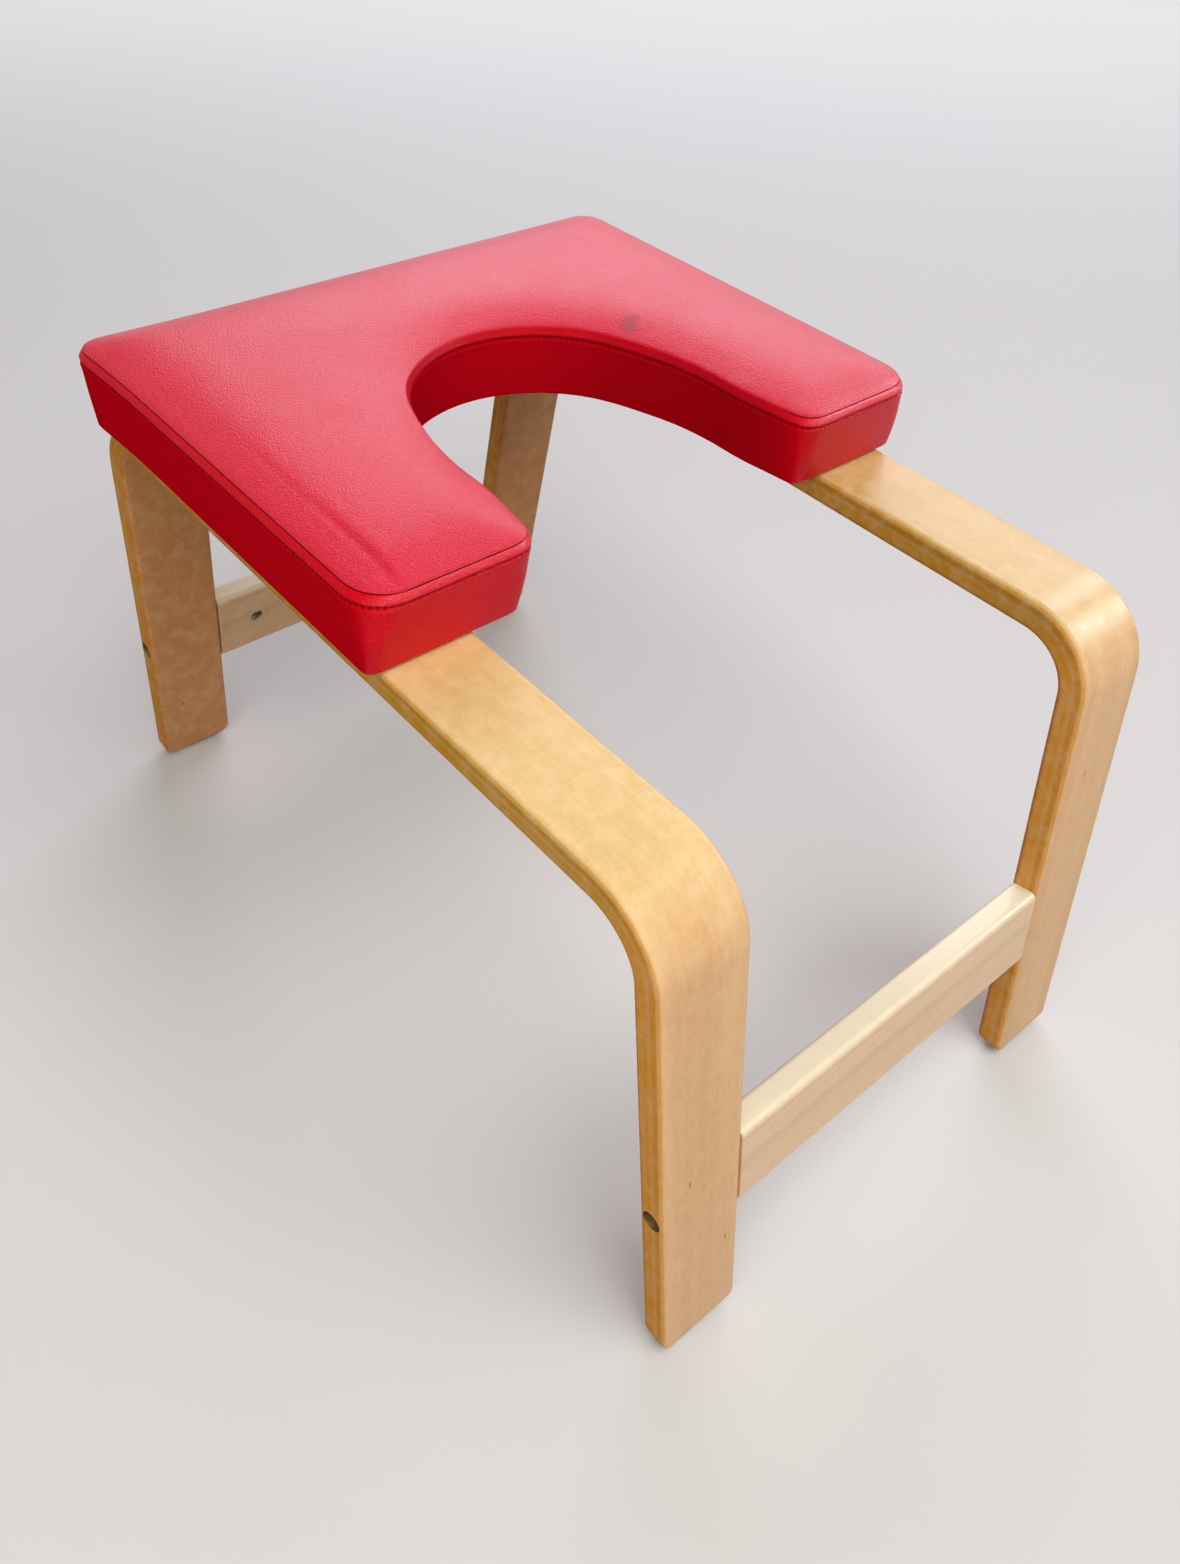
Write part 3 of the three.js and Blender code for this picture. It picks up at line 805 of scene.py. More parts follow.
@dataclass(frozen=True)
class Beech:
    """Lacquered solid beech, its grain along X.

    Args:
        name: The material's name.
        pale: The colour of the lightest streaks.
        deep: The colour of the darkest streaks.
        fleck: The colour of the short flecks.
        cream: The paler colour of the upper edge: partly the wood, partly a painted sheen of the light from
            above.
        flecks: How strongly the flecks show.
        tilt: How far the piece leans about X, in degrees.
        middle: The middle of the piece, in millimetres.
        half_height: Where its upper edge lies above that, in millimetres.
        coat: The strength of the lacquer's gloss.
        use: What use leaves on it.
    """

    name: str
    pale: Colour = (0.86, 0.62, 0.40)
    deep: Colour = (0.72, 0.47, 0.27)
    fleck: Colour = (0.40, 0.21, 0.09)
    cream: Colour = (0.72, 0.69, 0.51)
    flecks: float = 0.35
    tilt: float = 0.0
    middle: Point = STRAIGHT
    half_height: float = 29.0
    coat: float = 0.2
    use: Use = Use((0.90, 0.74, 0.52), 0.25, (0.42, 0.38, 0.33), 0.25, 0.8)

    def make(self, shop: Shop) -> Material:
        """Returns the material.

        Args:
            shop: The shop that has the shared groups and trees.

        Returns:
            The material.
        """
        material, graph, shader, place = shop.start(
            self.name, Coat_Weight=self.coat, Coat_Roughness=0.16, Specular_IOR_Level=0.3,
        )
        level = graph.add("ShaderNodeMapping", {
            "Vector": place,
            "Location": tuple(value * MM for value in self.middle),
            "Rotation": (math.radians(self.tilt), 0.0, 0.0),
        }, vector_type="TEXTURE").outputs[0]
        x, y, z = graph.split(level)
        grain = graph.group(
            shop.grain, Place=graph.unite(x, z, y), Pale=self.pale, Deep=self.deep, Fleck=self.fleck,
            Flecks=self.flecks,
        )
        # Painted sheen: the upper edge is tinted towards cream, where the lacquer catches the light from
        # above.
        top = graph.rise(z, (self.half_height - 4.0) * MM, (self.half_height - 0.8) * MM)
        colour = graph.tint(grain["Color"], top, 0.75, self.cream)
        colour, gloss, wear = shop.age(graph, place, colour, self.use)
        rough = graph.times(gloss, 0.12, plus=grain["Roughness"])
        graph.fill(shader, Base_Color=colour, Roughness=graph.times(wear, 0.2, plus=rough))
        graph.emboss(shader, grain["Height"], 0.05, 0.6)
        return material


@dataclass(frozen=True)
class BentBeech:
    """Lacquered laminated beech of the bent frames: golden on the rails, paler and pinker on the legs.

    Args:
        name: The material's name.
        golden: The colour of the rail's lightest streaks.
        golden_deep: The colour of its darkest streaks.
        pinkish: The colour of the legs' lightest streaks.
        pinkish_deep: The colour of their darkest streaks.
        fleck: The colour of the short flecks.
        shaded: The painted shade that darkens the strip's inner face.
        inner_face: The browner colour of that painted shade, tinted over it.
        side_tint: What the veneers' edges are tinted by.
        glue: The colour of the glue lines and the dark core.
        raw: The colour of the counterbores' walls: raw wood, darkened further as painted shade of the recess.
        knot: The colour of the pin knots.
        plies: The number of veneers.
        gloss: How strongly the faces mirror that don't look sideways.
        coat: The strength of the lacquer's gloss off the veneers' edges.
        knots: Places of pin knots, in millimetres.
        use: What use leaves on it.
    """

    name: str = "beech strip"
    golden: Colour = (0.70, 0.50, 0.225)
    golden_deep: Colour = (0.60, 0.385, 0.135)
    pinkish: Colour = (0.82, 0.52, 0.275)
    pinkish_deep: Colour = (0.66, 0.375, 0.165)
    fleck: Colour = (0.46, 0.24, 0.06)
    shaded: Colour = (0.80, 0.56, 0.33)
    inner_face: Colour = (0.60, 0.27, 0.09)
    side_tint: Colour = (1.0, 0.68, 0.07)
    glue: Colour = (0.20, 0.09, 0.02)
    raw: Colour = (0.09, 0.042, 0.014)
    knot: Colour = (0.13, 0.055, 0.02)
    plies: int = 11
    gloss: float = 0.21
    coat: float = 0.09
    knots: tuple[Point, ...] = (
        (-164.5, -281.3, 145.7), (-137.7, -293.9, 72.6), (-164.4, 278.2, 58.1),
        (148.0, -266.0, 231.0), (171.0, 288.0, 173.0), (-141.0, 287.5, 176.0), (139.0, -272.0, 95.0),
    )
    use: Use = Use((0.88, 0.68, 0.42), 0.22, (0.40, 0.35, 0.29), 0.3)

    def make(self, shop: Shop, rail: "BentFrame") -> Material:
        """Returns the material of a side frame.

        Args:
            shop: The shop that has the shared groups and trees.
            rail: The side frame.

        Returns:
            The material.
        """
        material, graph, shader, place = shop.start(self.name, Coat_Roughness=0.28)
        strip = graph.group(shop.strip, Place=place)
        leg, depth = strip["Leg"], strip["Depth"]
        grain = graph.group(
            shop.grain, Place=strip["Place"], Pale=graph.mix(leg, self.golden, self.pinkish),
            Deep=graph.mix(leg, self.golden_deep, self.pinkish_deep), Fleck=self.fleck, Flecks=0.22,
        )
        # Painted shade on the strip's inner face: darkened, then tinted browner.
        under = graph.rise(depth, 0.014, 0.017)
        colour = graph.tint(grain["Color"], under, 0.85, self.shaded, "MULTIPLY")
        colour = graph.tint(colour, under, 0.55, self.inner_face)
        colour, inside = self.lay_plies(graph, depth, leg, colour, rail)
        colour = self.paint_bore_shade(graph, place, colour, rail)
        knot = self.knot_mask(graph, place)
        colour = graph.tint(colour, knot, 0.85, self.knot)
        colour, gloss, wear = shop.age(graph, place, colour, self.use)
        rough = graph.times(gloss, 0.14, plus=grain["Roughness"])
        rough = graph.times(inside, 0.1, plus=rough)
        sideways = graph.math("ABSOLUTE", graph.facing()[0])
        graph.fill(
            shader, Base_Color=colour, Roughness=graph.times(wear, 0.15, plus=rough),
            Coat_Weight=graph.times(inside, -self.coat, plus=self.coat),
            Specular_IOR_Level=graph.rise(sideways, 0.6, 0.95, self.gloss, 0.0),
        )
        graph.emboss(shader, graph.minus(grain["Height"], graph.times(knot, 1.5)), 0.05, 0.6)
        return material

    def paint_bore_shade(self, graph: Graph, place: Socket, colour: Socket, rail: "BentFrame") -> Socket:
        """Paints shade on the raw wood inside the bolts' counterbores.

        Args:
            graph: The material's graph.
            place: The Object coordinates.
            colour: The strip's colour.
            rail: The side frame, for the bores' place and size.

        Returns:
            The colour.
        """
        joint_y, joint_z = rail.leg_place(rail.joint_up)
        _, y, z = graph.split(place)
        off = graph.unite(graph.minus(graph.math("ABSOLUTE", y), joint_y * MM), graph.minus(z, joint_z * MM))
        # Painted shade inside the counterbores, within their radius of the bolts' axis.
        bore_shade_mask = graph.math("LESS_THAN", graph.length(off), (rail.counterbore + 0.05) * MM)
        return graph.tint(colour, bore_shade_mask, 0.88, self.raw)

    def lay_plies(
        self, graph: Graph, depth: Socket, leg: Socket, colour: Socket, rail: "BentFrame",
    ) -> tuple[Socket, Socket]:
        """Draws the veneers' edges and glue lines on the strip's narrow sides.

        Args:
            graph: The material's graph.
            depth: How deep a place lies under the strip's outer face.
            leg: 0 on the rail and 1 down the legs, where the dark core hardly shows.
            colour: The grain's colour.
            rail: The side frame, for its thickness.

        Returns:
            The colour, and a mask that is 1 on the narrow sides.
        """
        thick = rail.thickness * MM
        layer = graph.times(depth, self.plies / thick)
        number = {"W": graph.math("FLOOR", layer)}
        tone = graph.add("ShaderNodeTexWhiteNoise", number, noise_dimensions="1D").outputs["Value"]
        line = graph.rise(graph.math("ABSOLUTE", graph.minus(graph.math("FRACT", layer), 0.5)), 0.41, 0.49)
        inside = graph.rise(graph.math("MINIMUM", depth, graph.minus(thick, depth)), 0.0005, 0.0016)
        layered = graph.mix(graph.times(tone, 0.5, plus=0.5), colour, self.side_tint, "MULTIPLY")
        layered = graph.tint(layered, line, 0.2, self.glue)
        core = graph.times(graph.rise(depth, 0.0028, 0.0042), graph.fall(depth, 0.0058, 0.0085))
        core = graph.times(core, graph.rise(leg, 0.0, 0.8, 0.17, 0.06))
        layered = graph.mix(core, layered, self.glue)
        return graph.mix(inside, colour, layered), inside

    def knot_mask(self, graph: Graph, place: Socket) -> Socket:
        """Returns a mask that is 1 on the pin knots.

        Args:
            graph: The material's graph.
            place: The Object coordinates.

        Returns:
            The mask.
        """
        mask: Any = 0.0
        for spot in self.knots:
            away = graph.vector("SUBTRACT", place, tuple(value * MM for value in spot))
            far = graph.length(graph.scaled(away, (1.5, 0.6, 0.3)))
            mask = graph.math("MAXIMUM", mask, graph.fall(far, 0.0003, 0.0013))
        return mask


@dataclass(frozen=True)
class Leatherette:
    """Embossed red leatherette of the top cover, with a faint dark rub mark.

    Args:
        name: The material's name.
        red: Its colour.
        creased: The painted shade between its pebbles.
        painted_seam_shade: The painted shade in the seam's groove.
        rubbed: The colour of the rub mark.
        scuff: The middle of that mark, in millimetres.
        pebble: The number of pebbles to the metre.
        gloss: How strongly it mirrors.
        tint: The colour of its highlights.
    """

    name: str = "red leatherette"
    red: Colour = (0.64, 0.005, 0.030)
    creased: Colour = (0.30, 0.003, 0.010)
    painted_seam_shade: Colour = (0.20, 0.002, 0.006)
    rubbed: Colour = (0.17, 0.05, 0.055)
    scuff: Point = (88.5, 77.5, 380.0)
    pebble: float = 680.0
    gloss: float = 0.22
    tint: Colour = (1.0, 1.0, 1.0)

    def make(self, shop: Shop) -> Material:
        """Returns the material.

        Args:
            shop: The shop that has the shared groups and trees.

        Returns:
            The material.
        """
        material, graph, shader, place = shop.start(
            self.name, Specular_IOR_Level=self.gloss, Specular_Tint=self.tint,
        )
        hide = graph.group(shop.hide, Place=place, Pebble=self.pebble)
        gloss, _ = shop.use(graph, place)
        broad = graph.rise(graph.noise(place, 7.0), 0.3, 0.75)
        colour = graph.tint(self.red, broad, 0.25, tuple(0.8 * part for part in self.red))
        # Painted shade in the creases between the pebbles.
        colour = graph.tint(colour, hide["Crease"], 0.3, self.creased)
        # Painted shade along the seam's groove, where the stored seam mark is.
        colour = graph.tint(colour, graph.mark("seam"), 0.5, self.painted_seam_shade)
        look = {"Base_Color": colour, "Roughness": graph.times(gloss, 0.12, plus=0.30)}
        height = self.add_detail(graph, place, look, hide["Height"])
        graph.fill(shader, **look)
        graph.emboss(shader, height, 0.24)
        return material

    def add_detail(self, graph: Graph, place: Socket, look: dict[str, Socket], height: Socket) -> Socket:
        """Adds the rub mark, small and streaky.

        Args:
            graph: The material's graph.
            place: The Object coordinates.
            look: What the shader's inputs get, which is changed.
            height: The hide's height.

        Returns:
            The height.
        """
        away = graph.vector("SUBTRACT", place, tuple(value * MM for value in self.scuff))
        lie = {"Vector": away, "Rotation": (0.0, 0.0, math.radians(-35.0))}
        turn = graph.add("ShaderNodeMapping", lie).outputs[0]
        near = graph.fall(graph.length(graph.scaled(turn, (1.0, 1.5, 0.3))), 0.004, 0.013)
        streak = graph.rise(graph.noise(turn, (200.0, 600.0, 120.0), 3.0, 0.7), 0.3, 0.65, 0.25)
        rub = graph.times(near, streak)
        look["Base_Color"] = graph.tint(look["Base_Color"], rub, 0.7, self.rubbed)
        look["Roughness"] = graph.times(rub, 0.2, plus=look["Roughness"])
        return height


@dataclass(frozen=True)
class BandLeatherette(Leatherette):
    """The side cover's leatherette, puckered at its stitches and polished by hands at the open front.

    Args:
        hole: The painted shade at the stitch holes.
        inner: The painted shade round the opening.
        pitch: The stitches' pitch along the band, in millimetres.
    """

    name: str = "red leatherette band"
    red: Colour = (0.72, 0.002, 0.012)
    gloss: float = 0.0
    tint: Colour = (1.0, 0.72, 0.92)
    hole: Colour = (0.17, 0.001, 0.008)
    inner: Colour = (0.25, 0.001, 0.006)
    pitch: float = 3.4

    def add_detail(self, graph: Graph, place: Socket, look: dict[str, Socket], height: Socket) -> Socket:
        """Adds the stitched row's puckers and painted shade at its holes, painted shade round the opening,
        and the polish of the ridge and the front faces.

        Args:
            graph: The material's graph.
            place: The Object coordinates, not used here.
            look: What the shader's inputs get, which is changed.
            height: The hide's height.

        Returns:
            The height, dented at each stitch hole.
        """
        along = graph.split(graph.add("ShaderNodeUVMap", uv_map="run").outputs[0])[0]
        wave = graph.math("COSINE", graph.times(along, FULL_TURN / (self.pitch * MM)))
        held, opening = graph.mark("stitch"), graph.mark("opening")
        front = graph.fall(graph.facing()[1], -0.85, -0.35)
        handled = graph.times(front, graph.minus(1.0, opening))
        shine = graph.times(graph.mark("ridge"), graph.times(handled, 0.26, plus=0.07))
        look["Specular_IOR_Level"] = graph.plus(shine, graph.times(handled, 0.18, plus=self.gloss))
        # Painted shade round the opening, where the stored opening mark is.
        colour = graph.tint(look["Base_Color"], opening, 0.35, self.inner)
        # Painted shade at the stitch holes, at each wave's peak along the stitched row.
        holes = graph.times(graph.rise(wave, -0.1, 0.8), held)
        look["Base_Color"] = graph.tint(colour, holes, 0.85, self.hole)
        return graph.minus(height, graph.times(graph.times(wave, held), 2.0))


@dataclass(frozen=True)
class Steel:
    """Zinc-plated steel, faintly mottled.

    Args:
        name: The material's name.
        bright: Its colour.
        dull: The colour of its dull patches.
        use: What use leaves on it.
    """

    name: str = "zinc steel"
    bright: Colour = (0.60, 0.61, 0.62)
    dull: Colour = (0.42, 0.43, 0.43)
    use: Use = Use((0.72, 0.72, 0.71), 0.5, (0.2, 0.18, 0.16), 0.3)

    def make(self, shop: Shop) -> Material:
        """Returns the material.

        Args:
            shop: The shop that has the shared groups and trees.

        Returns:
            The material.
        """
        material, graph, shader, place = shop.start(self.name, Metallic=0.95)
        mottle = graph.rise(graph.noise(place, 420.0, 3.0, 0.6), 0.35, 0.7)
        colour, gloss, _ = shop.age(graph, place, graph.mix(mottle, self.bright, self.dull), self.use)
        rough = graph.times(gloss, 0.15, plus=graph.times(mottle, 0.12, plus=0.26))
        graph.fill(shader, Base_Color=colour, Roughness=rough)
        graph.emboss(shader, graph.noise(place, 1800.0, 3.0), 0.012)
        return material


@dataclass(frozen=True)
class Nylon:
    """White nylon of the glides, scuffed where it slides, with a steel nail.

    Args:
        name: The material's name.
        white: Its colour.
        scuffed: The colour of its scratches.
        dusty: The colour of dust.
        nail: The colour of the nail.
        nail_from: The height above the floor from which it is nail, in millimetres.
    """

    name: str = "white nylon"
    white: Colour = (0.80, 0.785, 0.74)
    scuffed: Colour = (0.33, 0.29, 0.25)
    dusty: Colour = (0.4, 0.36, 0.3)
    nail: Colour = (0.55, 0.56, 0.57)
    nail_from: float = 2.9

    def make(self, shop: Shop) -> Material:
        """Returns the material.

        Args:
            shop: The shop that has the shared groups and trees.

        Returns:
            The material.
        """
        material, graph, shader, place = shop.start(self.name, Subsurface_Weight=0.06, Subsurface_Scale=0.002)
        gloss, dust = shop.use(graph, place)
        height = graph.split(place)[2]
        scratch = graph.rise(graph.noise(place, (900.0, 160.0, 900.0), 4.0, 0.7), 0.5, 0.75)
        worn = graph.times(scratch, graph.rise(height, 0.0003, 0.0014, 1.0, 0.25))
        colour = graph.tint(graph.tint(self.white, worn, 0.55, self.scuffed), dust, 0.4, self.dusty)
        nail = graph.math("GREATER_THAN", height, self.nail_from * MM)
        rough = graph.times(worn, 0.2, plus=graph.times(gloss, 0.15, plus=0.38))
        graph.fill(shader, Base_Color=graph.mix(nail, colour, self.nail), Metallic=nail, Roughness=rough)
        graph.emboss(shader, graph.minus(graph.noise(place, 700.0, 3.0), worn), 0.04, 0.8)
        return material


@dataclass(frozen=True)
class Lining:
    """Black non-woven lining with matted fibres and small embossed points.

    Args:
        name: The material's name.
        black: Its colour.
        fibre: The colour of its raised fibres.
        pressed: The colour of its embossed points.
    """

    name: str = "lining cloth"
    black: Colour = (0.022, 0.021, 0.021)
    fibre: Colour = (0.075, 0.072, 0.07)
    pressed: Colour = (0.012, 0.012, 0.012)

    def make(self, shop: Shop) -> Material:
        """Returns the material.

        Args:
            shop: The shop that has the shared groups and trees.

        Returns:
            The material.
        """
        material, graph, shader, place = shop.start(
            self.name, Sheen_Weight=0.25, Sheen_Roughness=0.5, Specular_IOR_Level=0.25,
        )
        strands = graph.noise(place, (1900.0, 420.0, 1900.0), 4.0, 0.65)
        crossing = graph.noise(place, (380.0, 2100.0, 2100.0), 4.0, 0.65)
        matted = graph.math("MAXIMUM", strands, crossing)
        points = graph.fall(graph.cells(place, 620.0, distance="MANHATTAN")["Distance"], 0.2, 0.4)
        colour = graph.mix(graph.rise(matted, 0.5, 0.75), self.black, self.fibre)
        colour = graph.tint(colour, points, 0.6, self.pressed)
        graph.fill(shader, Base_Color=colour, Roughness=graph.times(matted, 0.15, plus=0.8))
        graph.emboss(shader, graph.times(points, -0.8, plus=matted), 0.12)
        return material


@dataclass(frozen=True)
class Foam:
    """Cream foam with open pores.

    Args:
        name: The material's name.
        cream: Its colour.
        aged: The colour of its yellowed patches.
        hollow: The painted shade in its pores.
    """

    name: str = "foam"
    cream: Colour = (0.74, 0.66, 0.42)
    aged: Colour = (0.66, 0.52, 0.26)
    hollow: Colour = (0.4, 0.33, 0.18)

    def make(self, shop: Shop) -> Material:
        """Returns the material.

        Args:
            shop: The shop that has the shared groups and trees.

        Returns:
            The material.
        """
        material, graph, shader, place = shop.start(self.name, Specular_IOR_Level=0.2)
        pores = graph.fall(graph.cells(place, 900.0)["Distance"], 0.15, 0.5)
        patch = graph.rise(graph.noise(place, 30.0, 3.0), 0.3, 0.8)
        # Painted shade in the pores.
        colour = graph.tint(graph.tint(self.cream, patch, 0.3, self.aged), pores, 0.5, self.hollow)
        graph.fill(shader, Base_Color=colour, Roughness=graph.times(pores, 0.05, plus=0.92))
        graph.emboss(shader, graph.times(pores, -1.0), 0.3)
        return material


@dataclass(frozen=True)
class Plywood:
    """Plain plywood of the pad's board, its veneers stacked along Z.

    Args:
        name: The material's name.
        face: The colour of the lightest streaks.
        deep: The colour of the darkest streaks.
        fleck: The colour of the short flecks.
        crossing: The colour of every other veneer.
        bottom: The height of the board's underside, in millimetres.
        ply: The thickness of a veneer, in millimetres.
    """

    name: str = "plywood"
    face: Colour = (0.62, 0.43, 0.24)
    deep: Colour = (0.52, 0.33, 0.17)
    fleck: Colour = (0.3, 0.17, 0.08)
    crossing: Colour = (0.42, 0.26, 0.13)
    bottom: float = 329.9
    ply: float = 1.5

    def make(self, shop: Shop) -> Material:
        """Returns the material.

        Args:
            shop: The shop that has the shared groups and trees.

        Returns:
            The material.
        """
        material, graph, shader, place = shop.start(self.name)
        grain = graph.group(
            shop.grain, Place=place, Pale=self.face, Deep=self.deep, Fleck=self.fleck, Flecks=0.4,
        )
        up = graph.minus(graph.split(place)[2], self.bottom * MM)
        layer = graph.math("MODULO", graph.math("FLOOR", graph.math("DIVIDE", up, self.ply * MM)), 2.0)
        colour = graph.tint(grain["Color"], layer, 0.8, self.crossing)
        graph.fill(shader, Base_Color=colour, Roughness=graph.plus(grain["Roughness"], 0.4))
        graph.emboss(shader, grain["Height"], 0.15)
        return material


@dataclass(frozen=True)
class Thread:
    """Twisted sewing thread.

    Args:
        name: The material's name.
        red: Its colour.
        shaded: The colour between its strands.
    """

    name: str = "red thread"
    red: Colour = (0.42, 0.003, 0.014)
    shaded: Colour = (0.28, 0.002, 0.010)

    def make(self, shop: Shop) -> Material:
        """Returns the material.

        Args:
            shop: The shop that has the shared groups and trees.

        Returns:
            The material.
        """
        material, graph, shader, place = shop.start(self.name, Specular_IOR_Level=0.05)
        twist = graph.noise(place, (2600.0, 2600.0, 5200.0))
        gloss, _ = shop.use(graph, place)
        colour = graph.mix(graph.rise(twist, 0.35, 0.65), self.red, self.shaded)
        graph.fill(shader, Base_Color=colour, Roughness=graph.times(gloss, 0.1, plus=0.55))
        graph.emboss(shader, twist, 0.1)
        return material


# Bent side frames


@dataclass
class BentFrame:
    """One side frame: a laminated strip bent twice, from foot to foot, with all its bores.

    Sizes are those of the solid. The legs lean out by splay degrees.
    """

    side: Side = Side.LEFT
    width: float = 55.0
    thickness: float = 18.0
    span: float = 365.0
    height: float = 324.0
    lift: float = 3.0
    bend_y: float = 207.8961
    bend_radius: float = 32.0
    splay: float = 9.8
    foot_reach: float = 305.9645
    edge_radius: float = 3.5
    sole_radius: float = 4.5
    foot_radius: float = 8.0
    joint_up: float = 120.0
    bolt_bore: float = 3.5
    counterbore: float = 6.0
    counterbore_depth: float = 15.0
    dowel_bore: float = 4.3
    dowel_depth: float = 20.3
    dowel_spacing: float = 38.0
    nail_bore: float = 1.5
    nail_depth: float = 12.3
    glide_in: float = 15.0
    pad_bolts: Pair = (-10.0, 160.0)
    past: float = 4.0

    @property
    def lean(self) -> float:
        """The legs' splay in radians."""
        return math.radians(self.splay)

    @property
    def outer_radius(self) -> float:
        """Radius of the bends' outer face."""
        return self.bend_radius + self.thickness

    @property
    def top(self) -> float:
        """Height of the rail's upper face above the floor."""
        return self.lift + self.height

    @property
    def bend_z(self) -> float:
        """Height of the bends' centres above the floor."""
        return self.top - self.outer_radius

    @property
    def centre(self) -> float:
        """X of the strip's middle."""
        return self.side.value * (self.span - self.width) / 2.0

    @property
    def sole_middle(self) -> float:
        """Y of the middle of the rear sole."""
        return self.foot_reach - self.thickness / (2.0 * math.cos(self.lean))

    @property
    def dowel_steps(self) -> Pair:
        """How far each dowel lies above the bolt."""
        return (-self.dowel_spacing / 2.0, self.dowel_spacing / 2.0)

    def leg_place(self, up: float) -> Pair:
        """Returns Y and Z of a point on the rear leg's middle line, a distance up from its end."""
        return self.sole_middle - up * math.sin(self.lean), self.lift + up * math.cos(self.lean)

    def joint_places(self, out: float, aim: Callable[[End, Side], Point]) -> Places:
        """Lists a place at the height of each of the four joints.

        Args:
            out: How far out from the stool's middle it lies.
            aim: The angles in degrees that aim a part there.

        Returns:
            The places and angles.
        """
        y, z = self.leg_place(self.joint_up)
        return [((side.value * out, end.value * y, z), aim(end, side)) for end, side in CORNERS]

    def wood(self) -> BentBeech:
        """Returns the strip's wood: the right one is a darker copy, painted shade that tones down the
        brighter light on its rail.

        Returns:
            The wood.
        """
        name = f"beech strip {self.side.name.lower()}"
        # Painted shade: the right frame gets a darker copy of the same wood.
        if self.side is Side.RIGHT:
            return BentBeech(name, golden=(0.60, 0.42, 0.165), golden_deep=(0.515, 0.325, 0.105))
        return BentBeech(name)

    def section(self, inner: np.ndarray, outer: np.ndarray, half: float) -> np.ndarray:
        """Draws the strip's rounded cross-section.

        Args:
            inner: Y and Z of the middle of its inner face.
            outer: Y and Z of the middle of its outer face.
            half: Half its width.

        Returns:
            Points round it.
        """
        middle, reach = (inner + outer) / 2.0, np.linalg.norm(outer - inner) / 2.0
        way = (outer - inner) / (2.0 * reach)
        x, deep = rounded_box((half, reach), (min(self.edge_radius, half), min(self.edge_radius, reach)), 7).T
        return np.column_stack([self.centre + x, middle + way * deep[:, None]])

    def half_run(self) -> list[tuple[np.ndarray, np.ndarray, float]]:
        """Lists the stations of the rear half, from the middle of the rail down to the sole.

        Returns:
            The inner and outer point and half the width at each.
        """
        half = self.width / 2.0
        centre = np.array([self.bend_y, self.bend_z])
        stations = []
        for y in np.linspace(0.0, self.bend_y, 12, endpoint=False):
            faces = (self.bend_z + self.bend_radius, self.bend_z + self.outer_radius)
            stations.append((*(np.array([y, z]) for z in faces), half))
        for angle in np.linspace(RIGHT_ANGLE, self.lean, 22):
            way = np.array([math.cos(angle), math.sin(angle)])
            stations.append((centre + way * self.bend_radius, centre + way * self.outer_radius, half))
        rises = (9.5, 8.0, 6.6, 5.27, 4.3, 3.3, 2.4, 1.6, 0.95, 0.45, 0.12, 0.0)
        foot = [self.foot_station(height) for height in rises]
        above, below = stations[-1][:2], foot[0][:2]
        for share in np.linspace(0.0, 1.0, 10, endpoint=False)[1:]:
            stations.append((*(start + (end - start) * share for start, end in zip(above, below)), half))
        return stations + foot

    def foot_station(self, height: float) -> tuple[np.ndarray, np.ndarray, float]:
        """Cuts the rear foot level, at a height above its sole.

        Args:
            height: That height.

        Returns:
            The inner and outer point and half the width there.
        """
        radius, across = self.sole_radius, self.thickness / math.cos(self.lean)
        round_in = math.sqrt(max(radius ** 2 - (radius - height) ** 2, 0.0))
        outer = self.foot_reach - height * math.tan(self.lean)
        inner = outer - across
        if height < radius * (1.0 + math.sin(self.lean)):
            outer = self.foot_reach - radius * math.tan((RIGHT_ANGLE + self.lean) / 2.0) + round_in
        if height < radius * (1.0 - math.sin(self.lean)):
            inner = self.foot_reach - across + radius * math.tan((RIGHT_ANGLE - self.lean) / 2.0) - round_in
        half, corner = self.width / 2.0, self.foot_radius
        if height < corner:
            half += math.sqrt(corner ** 2 - (corner - height) ** 2) - corner
        up = self.lift + height
        return np.array([inner, up]), np.array([outer, up]), half

    def bores(self) -> list[Shape]:
        """Returns the shapes of all the strip's bores.

        Returns:
            The corners and faces of each.
        """
        side, half = self.side.value, self.width / 2.0
        out = (0.0, side * 90.0, 0.0)
        step = half - self.counterbore_depth
        stepped = turned([
            (0.0, -half - self.past), (self.bolt_bore, -half - self.past), (self.bolt_bore, step),
            (self.counterbore, step), (self.counterbore, half + self.past), (0.0, half + self.past),
        ], 48)
        dowel = rod(self.dowel_bore, -half - self.past, self.dowel_depth - half, 24)
        nail = rod(self.nail_bore, -self.past, self.nail_depth, 16)
        shapes = []
        for end in End:
            drilled = [(stepped, 0.0), *((dowel, above) for above in self.dowel_steps)]
            for shape, above in drilled:
                y, z = self.leg_place(self.joint_up + above)
                shapes.append(aimed(shape, (self.centre, end.value * y, z), out))
            x = side * (self.span / 2.0 - self.glide_in)
            shapes.append(aimed(nail, (x, end.value * self.sole_middle, self.lift)))
        bore = rod(self.bolt_bore, self.top - self.thickness - self.past, self.top + self.past, 24)
        return shapes + [aimed(bore, (self.centre, y, 0.0)) for y in self.pad_bolts]

    def build(self, finish: Material) -> None:
        """Makes and dresses the frame.

        Args:
            finish: The material.
        """
        rear = [self.section(*station) for station in self.half_run()]
        front = [ring * np.array([1.0, -1.0, 1.0]) for ring in rear[:0:-1]]
        name = self.side.name.lower()
        piece = new_piece(f"{name}_bent_frame", *loft([*front, *rear]))
        cut(piece, self.bores())
        finish_shape(piece)
        mark_edges(piece)
        hand_over(piece, finish, [f"{name}_side_frame"])


# Cross-rails


